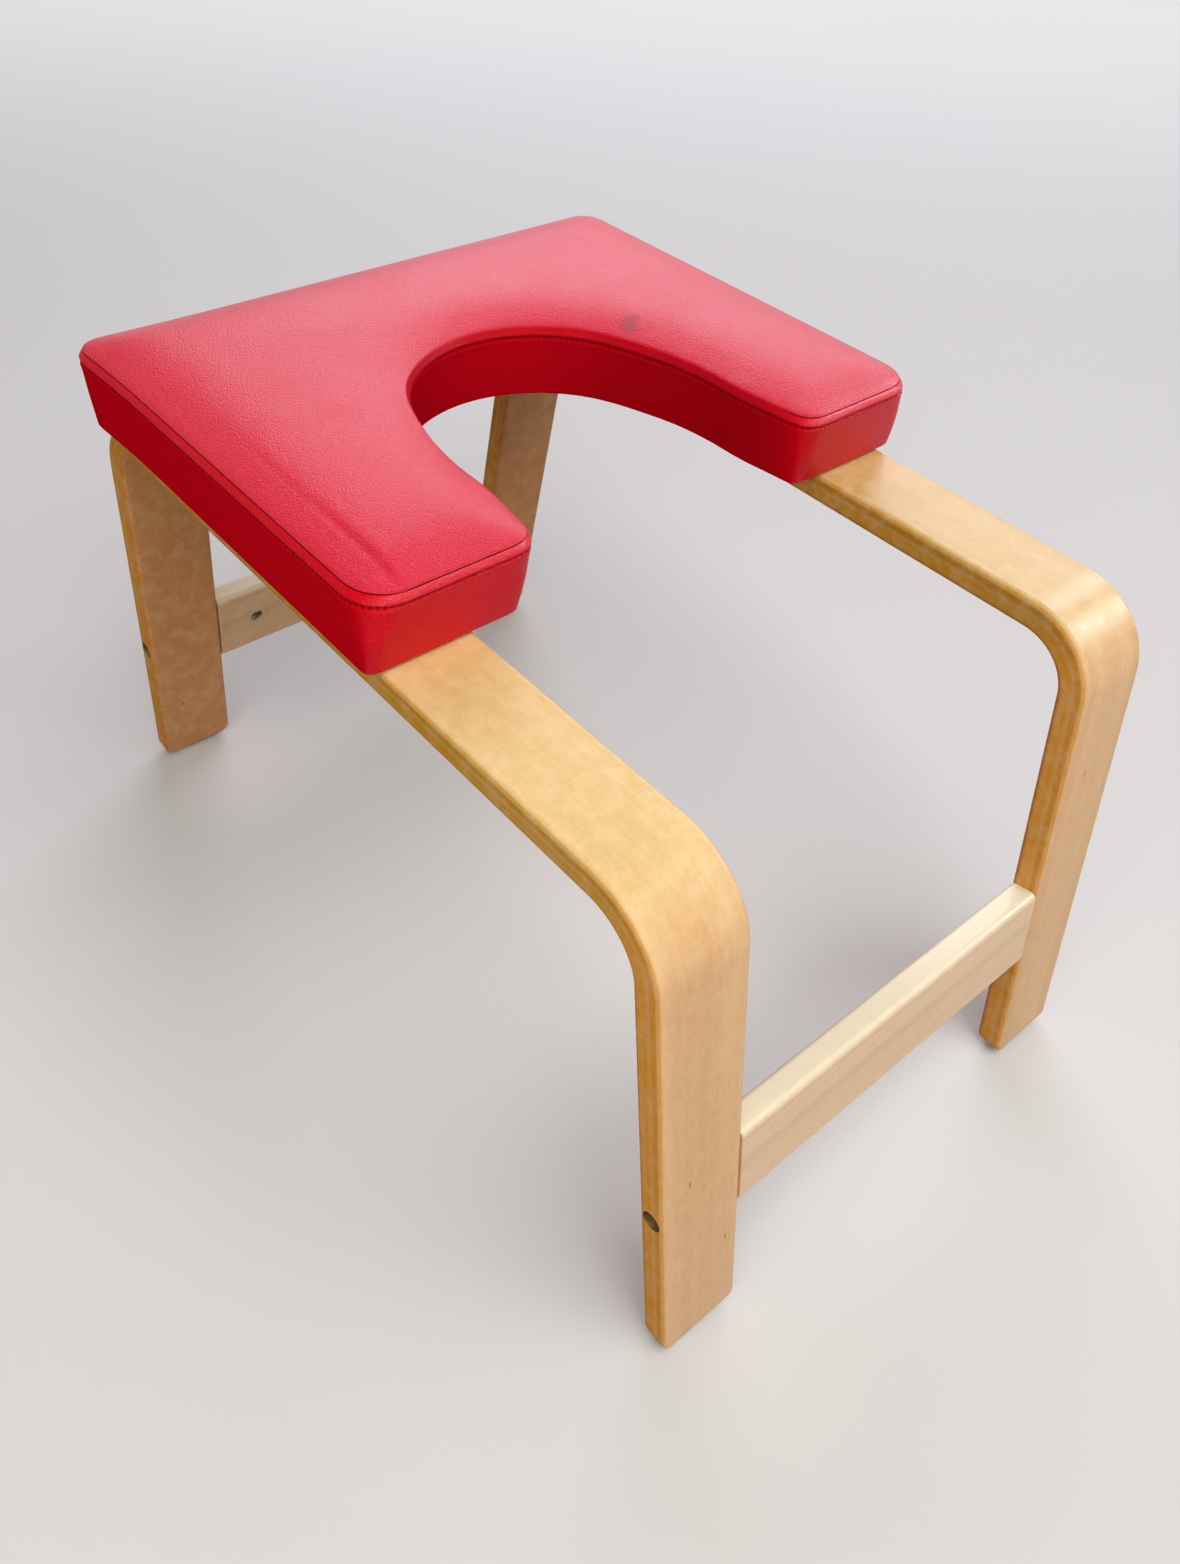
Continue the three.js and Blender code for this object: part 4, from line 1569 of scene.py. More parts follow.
@dataclass
class CrossRail:
    """One cross-rail, leaning with the legs, with bores for bolts, dowels and barrel nuts."""

    end: End
    frame: BentFrame
    height: float = 58.0
    edge_radius: float = 4.5
    end_ease: float = 0.4
    contact: float = 0.3
    bolt_tip: float = 87.7
    bolt_end_spare: float = 4.0
    nut_in: float = 31.0
    nut_bore: float = 5.3
    nut_depth: float = 7.3

    @property
    def half_length(self) -> float:
        """Half the rail's length."""
        return self.frame.span / 2.0 - self.frame.width - self.contact

    @property
    def middle(self) -> Point:
        """The middle of the rail."""
        y, z = self.frame.leg_place(self.frame.joint_up)
        return (0.0, self.end.value * y, z)

    @property
    def tilt(self) -> float:
        """How far the rail leans about X, in degrees."""
        return self.end.value * self.frame.splay

    def wood(self) -> Beech:
        """Returns the rail's wood: the rear one is a darker, browner copy, painted shade under the pad.

        Returns:
            The wood.
        """
        name = f"beech rail {self.end.name.lower()}"
        # Painted shade: the rear rail gets a darker, browner copy of the beech.
        if self.end is End.REAR:
            return Beech(name, (0.76, 0.50, 0.29), (0.62, 0.37, 0.19), tilt=self.tilt, middle=self.middle)
        return Beech(name, tilt=self.tilt, middle=self.middle)

    def place(self, shape: Shape) -> Shape:
        """Moves a shape drawn about the rail's middle, its height along Z, to where the rail is."""
        return aimed(shape, self.middle, (self.tilt, 0.0, 0.0))

    def slice(self, x: float, inset: float) -> np.ndarray:
        """Returns the rounded section at a place along the rail, drawn in by an inset.

        Args:
            x: Where it lies along the rail.
            inset: How far it is drawn in.

        Returns:
            The points of the section.
        """
        half = (self.frame.thickness / 2.0 - inset, self.height / 2.0 - inset)
        outline = rounded_box(half, (self.edge_radius - inset,) * 2, 9)
        return np.column_stack([np.full(len(outline), x), outline])

    def bores(self) -> tuple[list[Shape], list[Shape]]:
        """Returns the lengthwise bores, and the barrel nuts' bores that cross them.

        Returns:
            The corners and faces of each.
        """
        lengthwise, crossing = [], []
        end_face, joint = self.half_length + self.frame.past, self.half_length + self.contact
        bolt = rod(self.frame.bolt_bore, self.bolt_tip + self.bolt_end_spare - self.frame.past, end_face, 24)
        dowel = rod(self.frame.dowel_bore, joint - self.frame.dowel_depth, end_face, 24)
        nut = rod(self.nut_bore, -self.nut_depth, self.frame.thickness / 2.0 + self.frame.past, 48)
        for side in Side:
            drilled = [(bolt, 0.0), *((dowel, above) for above in self.frame.dowel_steps)]
            lengthwise += [aimed(shape, (0.0, 0.0, z), (0.0, side.value * 90.0, 0.0)) for shape, z in drilled]
            x = side.value * (joint - self.nut_in)
            crossing.append(aimed(nut, (x, 0.0, 0.0), (self.end.value * 90.0, 0.0, 0.0)))
        return lengthwise, crossing

    def build(self, finish: Material) -> None:
        """Makes and dresses the rail.

        Args:
            finish: The material.
        """
        half, ease = self.half_length, self.end_ease
        stations = ((-half, ease), (ease - half, 0.0), (0.0, 0.0), (half - ease, 0.0), (half, ease))
        name = self.end.name.lower()
        rings = [self.slice(*station) for station in stations]
        piece = new_piece(f"{name}_beech_rail", *self.place(loft(rings)))
        for shapes in self.bores():
            cut(piece, [self.place(shape) for shape in shapes])
        finish_shape(piece)
        mark_edges(piece)
        hand_over(piece, finish, [f"{name}_cross_rail"])


# Hardware


def wobbled(graph: Graph, rotation: Socket, most: Socket, seed: Socket, axis: str) -> Socket:
    """Turns a rotation about one of its own axes by a random angle.

    Args:
        graph: A geometry tree's graph.
        rotation: The rotation.
        most: The most that it is turned either way, in radians.
        seed: The seed of the angle.
        axis: The axis, x, y or z.

    Returns:
        The new rotation.
    """
    inputs = {2: graph.times(most, -1.0), 3: most, "Seed": seed}
    angle = graph.add("FunctionNodeRandomValue", inputs, data_type="FLOAT").outputs[1]
    about = graph.add("FunctionNodeEulerToRotation", {0: graph.unite(**{axis: angle})}).outputs[0]
    return graph.add("FunctionNodeRotateRotation", {0: rotation, 1: about}, rotation_space="LOCAL").outputs[0]


def set_copies(
    graph: Graph, sink: Node, points: Socket, part: Socket, rotation: Socket, finish: Socket,
) -> None:
    """Ends a geometry tree: sets a part at points, makes the copies real and dresses them.

    Args:
        graph: The tree's graph.
        sink: Its output node.
        points: Where the copies go.
        part: What is copied.
        rotation: How each copy is turned.
        finish: The material.
    """
    inputs = {"Points": points, "Instance": part, "Rotation": rotation}
    copies = graph.add("GeometryNodeInstanceOnPoints", inputs).outputs[0]
    real = graph.add("GeometryNodeRealizeInstances", {0: copies}).outputs[0]
    dressed = graph.add("GeometryNodeSetMaterial", {"Geometry": real, "Material": finish}).outputs[0]
    graph.feed(sink.inputs[0], dressed)


def places_tree() -> Tree:
    """Makes the tree that sets a part at each point of a mesh, aimed by the point's stored angles.

    Each copy gets a random turn about its own axis, from a fixed seed, as a fitter leaves it.

    Returns:
        The tree.
    """
    graph, source, sink = new_tree(
        "Parts at their places", "Geometry",
        {"Places": "Geometry", "Part": "Object", "Turn": "Float", "Seed": "Int", "Finish": "Material"},
        {"Set": "Geometry"},
    )
    part = graph.add("GeometryNodeObjectInfo", {"Object": source["Part"], "As Instance": True})
    aim = graph.add("GeometryNodeInputNamedAttribute", {"Name": "aim"}, data_type="FLOAT_VECTOR").outputs[0]
    aimed_by = graph.add("FunctionNodeEulerToRotation", {0: aim}).outputs[0]
    turned_by = wobbled(graph, aimed_by, source["Turn"], source["Seed"], "z")
    set_copies(graph, sink, source["Places"], part.outputs["Geometry"], turned_by, source["Finish"])
    return graph.tree


def row_tree() -> Tree:
    """Makes the tree that sets small bows of thread or wire in a row along a path.

    Returns:
        The tree.
    """
    graph, source, sink = new_tree(
        "Row of bows", "Geometry",
        {
            "Path": "Geometry", "Pitch": "Float", "Length": "Float", "Thickness": "Float", "Bow": "Float",
            "Unevenness": "Float", "Seed": "Int", "Finish": "Material",
        },
        {"Row": "Geometry"},
    )
    curve = graph.add("GeometryNodeMeshToCurve", {"Mesh": source["Path"]}).outputs[0]
    upright = graph.add("GeometryNodeSetCurveNormal", {"Curve": curve}, mode="Z_UP").outputs[0]
    inputs = {"Curve": upright, "Length": source["Pitch"]}
    steps = graph.add("GeometryNodeCurveToPoints", inputs, mode="LENGTH")
    bow = graph.add("GeometryNodeCurveQuadraticBezier", {
        "Resolution": 6,
        "Start": graph.unite(z=graph.times(source["Length"], -0.5)),
        "Middle": graph.unite(x=source["Bow"]),
        "End": graph.unite(z=graph.times(source["Length"], 0.5)),
    }).outputs[0]
    section = {"Resolution": 6, "Radius": graph.times(source["Thickness"], 0.5)}
    round_wire = graph.add("GeometryNodeCurvePrimitiveCircle", section).outputs[0]
    wire = {"Curve": bow, "Profile Curve": round_wire, "Fill Caps": True}
    tube = graph.add("GeometryNodeCurveToMesh", wire).outputs[0]
    smooth = graph.add("GeometryNodeSetShadeSmooth", {0: tube}).outputs[0]
    turned_by = wobbled(graph, steps.outputs["Rotation"], source["Unevenness"], source["Seed"], "x")
    set_copies(graph, sink, steps.outputs["Points"], smooth, turned_by, source["Finish"])
    return graph.tree


def run_tree(piece: Piece, tree: Tree, **values: Any) -> None:
    """Runs a geometry tree on a piece and keeps the result as its plain mesh.

    Args:
        piece: The object whose mesh the tree reads.
        tree: The tree.
        **values: What its named inputs get.
    """
    modifier = piece.modifiers.new("tree", "NODES")
    modifier.node_group = tree
    sockets = {item.name: item.identifier for item in tree.interface.items_tree if item.in_out == "INPUT"}
    for name, value in values.items():
        modifier[sockets[name]] = value
    apply_modifiers(piece)


@dataclass(frozen=True)
class Part:
    """One kind of part that is set at four places.

    Args:
        kind: The last words of the names of the solids that it stands for.
        shape: The part, drawn about its own axis Z.
        places: Where each copy goes and the angles in degrees that aim it.
        turn: The most that a copy is turned about its axis, in degrees.
        seed: The seed of those turns.
        cutters: Shapes taken out of the part.
        slot: The record's material slot, not used.
    """

    kind: str
    shape: Shape
    places: Places
    turn: float
    seed: int
    cutters: Sequence[Shape] = ()
    slot: Slot = Slot.STEEL

    def spread(self, shop: Shop, finish: Material) -> None:
        """Makes the part, sets it at its places and dresses it.

        Args:
            shop: The shop that has the shared groups and trees.
            finish: The material.
        """
        part = new_piece(f"{self.kind}_part", *self.shape)
        for cutter in self.cutters:
            cut(part, [cutter])
        finish_shape(part, 30.0)
        mark_edges(part, 0.3)
        piece = new_piece(f"{self.kind}s", [place for place, _ in self.places], [])
        aims = piece.data.attributes.new("aim", "FLOAT_VECTOR", "POINT")
        aims.data.foreach_set("vector", np.radians(np.array([aim for _, aim in self.places])).ravel())
        turn = math.radians(self.turn)
        run_tree(piece, shop.parts_at_places, Part=part, Turn=turn, Seed=self.seed, Finish=finish)
        discard(part)
        hand_over(piece, finish, corner_nodes(self.kind))


@dataclass
class Hardware:
    """All the stool's fasteners and glides, each kind made once and set at its four places.

    A head is the radius and height of each point of its outline.
    """

    frame: BentFrame
    rail_bolt_length: float = 80.0
    rail_bolt_thread: float = 24.0
    rail_head: tuple[Pair, ...] = ((5.0, 0.0), (5.0, 5.4), (4.75, 5.8), (4.4, 6.0))
    rail_washer: float = 5.6
    pad_bolt_length: float = 35.0
    pad_head: tuple[Pair, ...] = (
        (5.25, 0.0), (5.25, 0.7), (5.12, 1.25), (4.75, 1.95), (4.2, 2.6), (3.6, 3.05), (3.2, 3.3),
    )
    pad_washer: float = 8.0
    shank: float = 3.0
    thread_pitch: float = 1.0
    thread_depth: float = 0.55
    thread_fade: float = 1.5
    tip_bevel: float = 0.9
    contact: float = 0.3
    washer_bore: float = 3.3
    washer_thickness: float = 1.5
    washer_ease: float = 0.2
    nut_in: float = 31.0
    nut_half: float = 7.0
    nut_radius: float = 5.0
    nut_ease: float = 0.4
    nut_thread: float = 3.1
    slot_width: float = 1.5
    slot_depth: float = 1.2
    nail_radius: float = 1.2
    nail_shank: float = 9.5
    nail_length: float = 12.0
    segments: int = 40

    def threaded(self, length: float, thread: float, head: Sequence[Pair]) -> Shape:
        """Makes a bolt about Z, its shank down from zero and its head up.

        Args:
            length: The shank's length.
            thread: How much of it is threaded, from the tip.
            head: Radius and height of the head's outline.

        Returns:
            The corners and faces.
        """
        around = circle(self.segments)
        turns = np.linspace(0.0, 1.0, self.segments, endpoint=False)
        rings = []
        for height in np.arange(-length, 0.0, self.thread_pitch / 4.0):
            from_tip = height + length
            tooth = np.abs(((height / self.thread_pitch - turns) % 1.0) * 2.0 - 1.0)
            share = smoothstep(thread - from_tip, 0.0, self.thread_fade)
            radius = self.shank - self.thread_depth * tooth * share - max(0.0, self.tip_bevel - from_tip)
            rings.append(at_height(around * radius[:, None], height))
        rings += [at_height(around * radius, height) for radius, height in ((self.shank, 0.0), *head)]
        return loft(rings)

    def hexagon(self, flats: float, low: float, high: float) -> Shape:
        """Returns a six-sided prism along Z."""
        return rod(flats / math.sqrt(3.0), low, high, 6)

    def washer(self, radius: float) -> Shape:
        """Returns a flat washer with eased rims, up from zero.

        Args:
            radius: The washer's radius.

        Returns:
            The corners and faces.
        """
        bore, thick, ease = self.washer_bore, self.washer_thickness, self.washer_ease
        return turned([
            (bore, ease), (bore + ease, 0.0), (radius - ease, 0.0), (radius, ease), (radius, thick - ease),
            (radius - ease, thick), (bore + ease, thick), (bore, thick - ease),
        ], self.segments)

    def slotted_box(self) -> Shape:
        """Returns the block that cuts the screwdriver's slot into a barrel nut's upper end.

        Returns:
            The corners and faces.
        """
        wide, half = 2.0 * self.nut_radius, self.slot_width / 2.0
        heights = (self.nut_half - self.slot_depth, self.nut_half + 2.0)
        corners = [(x, y, z) for z in heights for y in (-half, half) for x in (-wide, wide)]
        return corners, [(0, 1, 3, 2), (4, 6, 7, 5), (0, 4, 5, 1), (2, 3, 7, 6), (0, 2, 6, 4), (1, 5, 7, 3)]

    def on_rail_bolt(self, out: float) -> Places:
        """Returns the four places on the rail bolts' axes, a distance out from the middle, aimed outwards."""
        return self.frame.joint_places(out, lambda end, side: (0.0, side.value * 90.0, 0.0))

    def on_pad_bolt(self, height: float, tilt: float) -> Places:
        """Returns the four places on the pad bolts' axes, at a height, tilted from upright.

        Args:
            height: The height.
            tilt: How far they lean about X, in degrees.

        Returns:
            The places and angles.
        """
        x = abs(self.frame.centre)
        return [
            ((side.value * x, y, height), (tilt, 0.0, 0.0)) for y in self.frame.pad_bolts for side in Side
        ]

    def rail_bolts(self) -> list[Part]:
        """Returns the socket-head bolts of the cross-rails and their washers.

        Returns:
            The bolts and washers.
        """
        seat = self.frame.span / 2.0 - self.frame.counterbore_depth + self.contact
        head = self.on_rail_bolt(seat + self.washer_thickness + self.contact)
        bolt = self.threaded(self.rail_bolt_length, self.rail_bolt_thread, self.rail_head)
        return [
            Part("rail_bolt", bolt, head, 60.0, 3, [self.hexagon(5.0, 2.5, 8.0)]),
            Part("rail_washer", self.washer(self.rail_washer), self.on_rail_bolt(seat), 20.0, 5),
        ]

    def barrel_nuts(self) -> Part:
        """Returns the slotted cross dowel nuts in the rails.

        Returns:
            The nuts.
        """
        half, radius, ease = self.nut_half, self.nut_radius, self.nut_ease
        body = turned([
            (0.0, -half), (radius - ease, -half), (radius, ease - half), (radius, half - ease),
            (radius - ease, half), (0.0, half),
        ], self.segments)
        hole = aimed(rod(self.nut_thread, -2.0 * radius, 2.0 * radius), STRAIGHT, (0.0, 90.0, 0.0))
        places = self.frame.joint_places(
            self.frame.span / 2.0 - self.frame.width - self.nut_in,
            lambda end, side: (end.value * (90.0 + self.frame.splay), 0.0, 0.0),
        )
        return Part("barrel_nut", body, places, 0.0, 7, [hole, self.slotted_box()])

    def pad_bolts(self) -> list[Part]:
        """Returns the button-head bolts that hold the pad, and their washers, under the frames' rails.

        Returns:
            The bolts and washers.
        """
        under = self.frame.top - self.frame.thickness - self.contact
        head = self.on_pad_bolt(under - self.washer_thickness - self.contact, 180.0)
        bolt = self.threaded(self.pad_bolt_length, self.pad_bolt_length, self.pad_head)
        washers = self.on_pad_bolt(under - self.washer_thickness, 0.0)
        return [
            Part("pad_bolt", bolt, head, 60.0, 11, [self.hexagon(4.0, 1.3, 5.0)]),
            Part("pad_washer", self.washer(self.pad_washer), washers, 20.0, 13),
        ]

    def glides(self) -> Part:
        """Returns the nailed glides that the feet stand on.

        Returns:
            The glides.
        """
        top, nail = self.frame.lift - self.contact, self.nail_radius
        glide = turned([
            (0.0, 0.0), (4.2, 0.0), (4.9, 0.06), (5.8, 0.35), (6.5, 0.9), (6.9, 1.55), (7.0, 2.0),
            (7.0, top - 0.15), (6.85, top), (nail, top), (nail, top + self.nail_shank),
            (nail / 4.0, top + self.nail_length), (0.0, top + self.nail_length),
        ], self.segments)
        x = self.frame.span / 2.0 - self.frame.glide_in
        soles = [
            ((side.value * x, end.value * self.frame.sole_middle, 0.0), STRAIGHT) for end, side in CORNERS
        ]
        return Part("foot_glide", glide, soles, 40.0, 17, slot=Slot.NYLON)

    def build(self, shop: Shop, steel: Material) -> None:
        """Makes all the fasteners and glides, and dresses the hidden ones.

        Args:
            shop: The shop that has the shared groups and trees.
            steel: The steel's material.
        """
        # Painted shade: a darker copy of the steel for the barrel nuts, whose ends sit deep in their holes.
        shaded_steel = Steel("dull zinc steel", (0.13, 0.125, 0.115), (0.06, 0.058, 0.055)).make(shop)
        for part in self.rail_bolts():
            part.spread(shop, steel)
        self.barrel_nuts().spread(shop, shaded_steel)
        for part in self.pad_bolts():
            part.spread(shop, steel)
        self.glides().spread(shop, Nylon().make(shop))
        dress_solids(corner_nodes("tee_nut"), steel)
        dowel_wood = Beech("dowel wood", (0.62, 0.42, 0.24), (0.5, 0.31, 0.16), coat=0.0).make(shop)
        dress_solids(corner_nodes("lower_dowel") + corner_nodes("upper_dowel"), dowel_wood)


# Shoulder pad


@dataclass(frozen=True)
class Row:
    """One kind of row of small bows of thread or wire, with its sizes in millimetres.

    Args:
        pitch: The distance between the bows.
        length: The length of each.
        thickness: How thick the thread or wire is.
        bow: How far the middle of each stands out.
        unevenness: The most that each is turned, in radians.
        seed: The seed of those turns.
    """

    pitch: float
    length: float
    thickness: float
    bow: float
    unevenness: float
    seed: int

    def lay(
        self, name: str, line: np.ndarray, closed: bool, shop: Shop, finish: Material,
    ) -> None:
        """Lays the row along a line of points and dresses it.

        Args:
            name: The piece's name.
            line: The points.
            closed: Whether the last point is joined to the first.
            shop: The shop that has the tree.
            finish: The material.
        """
        count = len(line)
        pairs = [(i, (i + 1) % count) for i in range(count if closed else count - 1)]
        piece = new_piece(name, line, [], pairs)
        run_tree(
            piece, shop.row_of_bows, Pitch=self.pitch * MM, Length=self.length * MM,
            Thickness=self.thickness * MM, Bow=self.bow * MM, Unevenness=self.unevenness, Seed=self.seed,
            Finish=finish,
        )
        hand_over(piece, finish)


@dataclass
class Pad:
    """The U-shaped shoulder pad: crowned top cover, sewn side cover, foam, stitches and underside lining.

    Heights are above the top of the frames' rails. Insets are distances in from the pad's outline. A run
    is the rough length of one stretch of the outline, which sets how many points it gets. A fade is where
    a fullness starts and ends.
    """

    frame: BentFrame
    width: float = 383.0
    front: float = 58.0
    rear: float = 239.0
    opening: float = 102.0
    opening_reach: float = 128.0
    side_lean: float = 1.0
    arm_lean: float = 7.5
    opening_lean: float = 4.5
    arm_run: float = 50.0
    side_run: float = 256.0
    rear_run: float = 335.0
    inner_run: float = 40.0
    opening_run: float = 369.0
    corner_run: float = 40.0
    seam: float = 47.0
    crown_rise: float = 8.0
    crown_share: float = 0.93
    crown_power: float = 2.5
    crown_blur: float = 9.0
    map_cell: float = 2.0
    map_margin: float = 20.0
    seam_tuck: float = 2.6
    outer_corner: float = 24.0
    rear_corner: float = 17.0
    inner_corner: float = 15.0
    board_corner: float = 4.0
    corner_power: float = 1.5
    corner_blur: float = 3.0
    blur_reach: int = 12
    fuller_top: float = 2.0
    fuller_bottom: float = 2.5
    fuller_shoulder: float = 5.0
    fuller_corner: float = 2.6
    inner_fade: Pair = (-130.0, -105.0)
    arm_fade: Pair = (-95.0, -20.0)
    shoulder_front_fade: Pair = (-62.0, -8.0)
    shoulder_rear_fade: Pair = (52.0, 108.0)
    corner_fade: float = 42.0
    least_corner: float = 1.5
    board_top: float = 17.9
    lip: float = 20.0
    lip_bottom: float = 1.4
    cover: float = 1.2
    fold: float = 1.4
    band_tuck: float = 0.7
    band_full: float = 26.0
    ridge: float = 6.0
    ridge_lift: float = 0.8
    stitch_dent: float = 0.85
    stitch_spread: float = 0.95
    stitch_pitch: float = 3.4
    stitch_sunk: float = 0.2
    crease_x: float = -172.0
    foam_spare: float = 0.6
    lining_inset: float = 8.0
    lining_thickness: float = 0.8
    contact: float = 0.3
    voxel: float = 5.0
    pressure: float = 4.0
    cloth_steps: int = 20
    swell_cap: float = 6.0
    swell_share: float = 0.1
    staple_inset: float = 12.5
    staple_clear: float = 33.0

    @property
    def stitch_height(self) -> float:
        """The height of the topstitching."""
        return self.seam - self.ridge

    @property
    def crown_reach(self) -> float:
        """How far in from the seam the crown rises."""
        arm = self.width / 2.0 - self.opening + self.side_lean + self.arm_lean
        return self.crown_share * (arm / 2.0 - self.seam_tuck)

    def raised(self, points: np.ndarray) -> np.ndarray:
        """Moves points from the top of the rails to their height above the floor."""
        return points + np.array([0.0, 0.0, self.frame.top])

    def corner_radius(self, top: float, lean: float, inset: float) -> float:
        """Returns a corner's radius, which grows from the board to the seam.

        Args:
            top: The radius at the seam.
            lean: How far up it is, from 0 at the rails to 1 at the seam.
            inset: How far the outline is drawn in.

        Returns:
            The radius.
        """
        grown = self.board_corner + (top - self.board_corner) * lean ** self.corner_power
        return max(grown - inset, self.least_corner)

    def ring(self, inset: float, height: float, step: float = 4.0) -> np.ndarray:
        """Draws the pad's outline at a height.

        Args:
            inset: How far it is drawn in.
            height: The height, which also sets how round the corners are.
            step: The rough distance between points.

        Returns:
            The points, counterclockwise from above, always as many for the same step.
        """
        lean = min(max(height / self.seam, 0.0), 1.0)
        outer = self.corner_radius(self.outer_corner, lean, inset)
        inner = self.corner_radius(self.inner_corner, lean, inset)
        back = max(self.rear_corner - inset, self.least_corner)
        side, rear = self.width / 2.0 + self.side_lean * lean - inset, self.rear - inset
        front = inset - self.arm_lean * lean - self.front
        half, reach = self.opening - self.arm_lean * lean, self.opening_reach - self.opening_lean * lean
        opening = half + inset
        corners = (
            (opening, front, 1, 1, inner, 2, self.arm_run), (side, front, -1, 1, outer, 3, self.side_run),
            (side, rear, -1, -1, back, 0, self.rear_run), (-side, rear, 1, -1, back, 1, self.side_run),
            (-side, front, 1, 1, outer, 2, self.arm_run), (-opening, front, -1, 1, inner, 3, self.inner_run),
        )
        turn = np.linspace(0.0, RIGHT_ANGLE, max(4, round(self.corner_run / step)) + 1)
        bends, runs = [], []
        for x, y, sx, sy, radius, quarter, run in corners:
            angles = quarter * RIGHT_ANGLE + turn
            middle = np.array([x + sx * radius, y + sy * radius])
            bends.append(middle + radius * np.stack([np.cos(angles), np.sin(angles)], axis=1))
            runs.append(run)
        angles = np.linspace(math.pi, 0.0, round(self.opening_run / step) + 1)
        edge = np.stack([np.cos(angles) * half, np.sin(angles) * reach], axis=1)
        away = np.stack([np.cos(angles) * reach, np.sin(angles) * half], axis=1)
        bends.append(edge + away / np.linalg.norm(away, axis=1)[:, None] * inset)
        runs.append(self.inner_run)
        parts = []
        for bend, run, after in zip(bends, runs, [*bends[1:], bends[0]]):
            shares = np.linspace(0.0, 1.0, max(1, round(run / step)) + 2)[1:-1, None]
            parts += [bend, bend[-1] + (after[0] - bend[-1]) * shares]
        return at_height(self.fill_out(self.soften(np.vstack(parts)), lean), height)

    def fill_out(self, flat: np.ndarray, lean: float) -> np.ndarray:
        """Makes an outline as full as the stuffed pad, which bulges at its shoulders, left arm and a corner.

        Args:
            flat: The outline.
            lean: How far up it lies, from 0 at the rails to 1 at the seam.

        Returns:
            The fuller outline.
        """
        x, y = flat.T
        inside = smoothstep(-np.abs(x), *self.inner_fade)
        left = inside * (x < 0.0) * smoothstep(-y, *self.arm_fade)
        front, rear = smoothstep(y, *self.shoulder_front_fade), smoothstep(y, *self.shoulder_rear_fade)
        across = left * (self.fuller_top + (self.fuller_bottom - self.fuller_top) * (1.0 - lean))
        across -= np.sign(x) * inside * front * (1.0 - rear) * self.fuller_shoulder
        corner = self.fuller_corner * hump(np.hypot(x + self.width / 2.0, y - self.rear), self.corner_fade)
        return flat + np.column_stack([across - corner, 0.8 * corner])

    def soften(self, flat: np.ndarray) -> np.ndarray:
        """Blurs a closed outline along its run, so that it eases into its corners as stretched hide does.

        Args:
            flat: The outline.

        Returns:
            The softer outline.
        """
        closed = np.vstack([flat, flat[:1]])
        run = np.concatenate([[0.0], np.cumsum(np.linalg.norm(np.diff(closed, axis=0), axis=1))])
        even = np.linspace(0.0, run[-1], round(run[-1]), endpoint=False)
        reach = self.blur_reach
        kernel = np.exp(-0.5 * (np.arange(-reach, reach + 1) / self.corner_blur) ** 2)
        result = []
        for axis in (0, 1):
            values = np.interp(even, run, closed[:, axis])
            wrapped = np.concatenate([values[-reach:], values, values[:reach]])
            blurred = np.convolve(wrapped, kernel / kernel.sum(), "valid")
            result.append(np.interp(run[:-1], np.append(even, run[-1]), np.append(blurred, blurred[0])))
        return np.stack(result, axis=1)

    def crown(self, share: Any) -> Any:
        """Returns the crown's height above the seam, a share of the way in."""
        return self.crown_rise * (1.0 - (1.0 - np.clip(share, 0.0, 1.0)) ** self.crown_power)

    def crown_point(self, inset: float) -> Pair:
        """Returns inset and height of the crown, a distance in from the seam."""
        return self.seam_tuck + inset, self.seam + float(self.crown(inset / self.crown_reach))

    def round_crown(self, points: np.ndarray, insets: np.ndarray) -> None:
        """Takes the creases out of the crown where its slopes meet, by blurring a map of its heights.

        Args:
            points: The cover's points, whose heights are changed.
            insets: How far in from the outline each of them lies.
        """
        outline, cell = self.ring(0.0, self.seam)[:, :2], self.map_cell
        low = outline.min(axis=0) - self.map_margin
        counts = np.ceil((outline.max(axis=0) + self.map_margin - low) / cell).astype(int) + 1
        spots = np.stack(np.meshgrid(*(np.arange(count) for count in counts), indexing="ij"), axis=-1)
        depths = self.depth_in(low + cell * spots.reshape(-1, 2), outline)
        share = (depths - self.seam_tuck) / self.crown_reach
        heights = (np.sign(share) * self.crown(np.abs(share))).reshape(counts)
        kernel = hump(np.arange(-9, 10) * cell, self.crown_blur)
        for axis in (0, 1):
            heights = np.apply_along_axis(np.convolve, axis, heights, kernel / kernel.sum(), "same")
        at = (points[:, :2] - low) / cell
        (i, j), (u, v) = np.floor(at).astype(int).T, (at - np.floor(at)).T
        even = (heights[i, j] * (1 - u) + heights[i + 1, j] * u) * (1 - v)
        even += (heights[i, j + 1] * (1 - u) + heights[i + 1, j + 1] * u) * v
        share = smoothstep(insets, self.seam_tuck + 1.0, self.seam_tuck + 12.0)
        points[:, 2] += (self.seam + even - points[:, 2]) * share

    def band_inset(self, height: float) -> float:
        """Returns how far the band's outer face lies in at a height: it leans below, and rolls over above.

        Args:
            height: The height.

        Returns:
            The inset.
        """
        if height < self.band_full:
            low = self.lip_bottom + self.fold
            share = (height - low) / (self.band_full - low)
            eased = (1.0 - smoothstep(share, -0.25, 1.0)) / (1.0 - smoothstep(0.0, -0.25, 1.0))
            return float(self.band_tuck * eased)
        above = height - self.stitch_height
        dent = self.stitch_dent * hump(above, self.stitch_spread)
        puffs = 0.3 * hump(above + 2.3, 1.4) + 0.2 * hump(above - 1.9, 1.0)
        roll = min(max(0.0, (above - 1.0) / 4.4), 1.0)
        return float(dent - puffs + (self.seam_tuck - 0.05) * roll ** 1.8)

    def band_points(self, heights: Sequence[float]) -> list[Pair]:
        """Returns inset and height of the band's outer face at some heights."""
        return [(self.band_inset(height), float(height)) for height in heights]

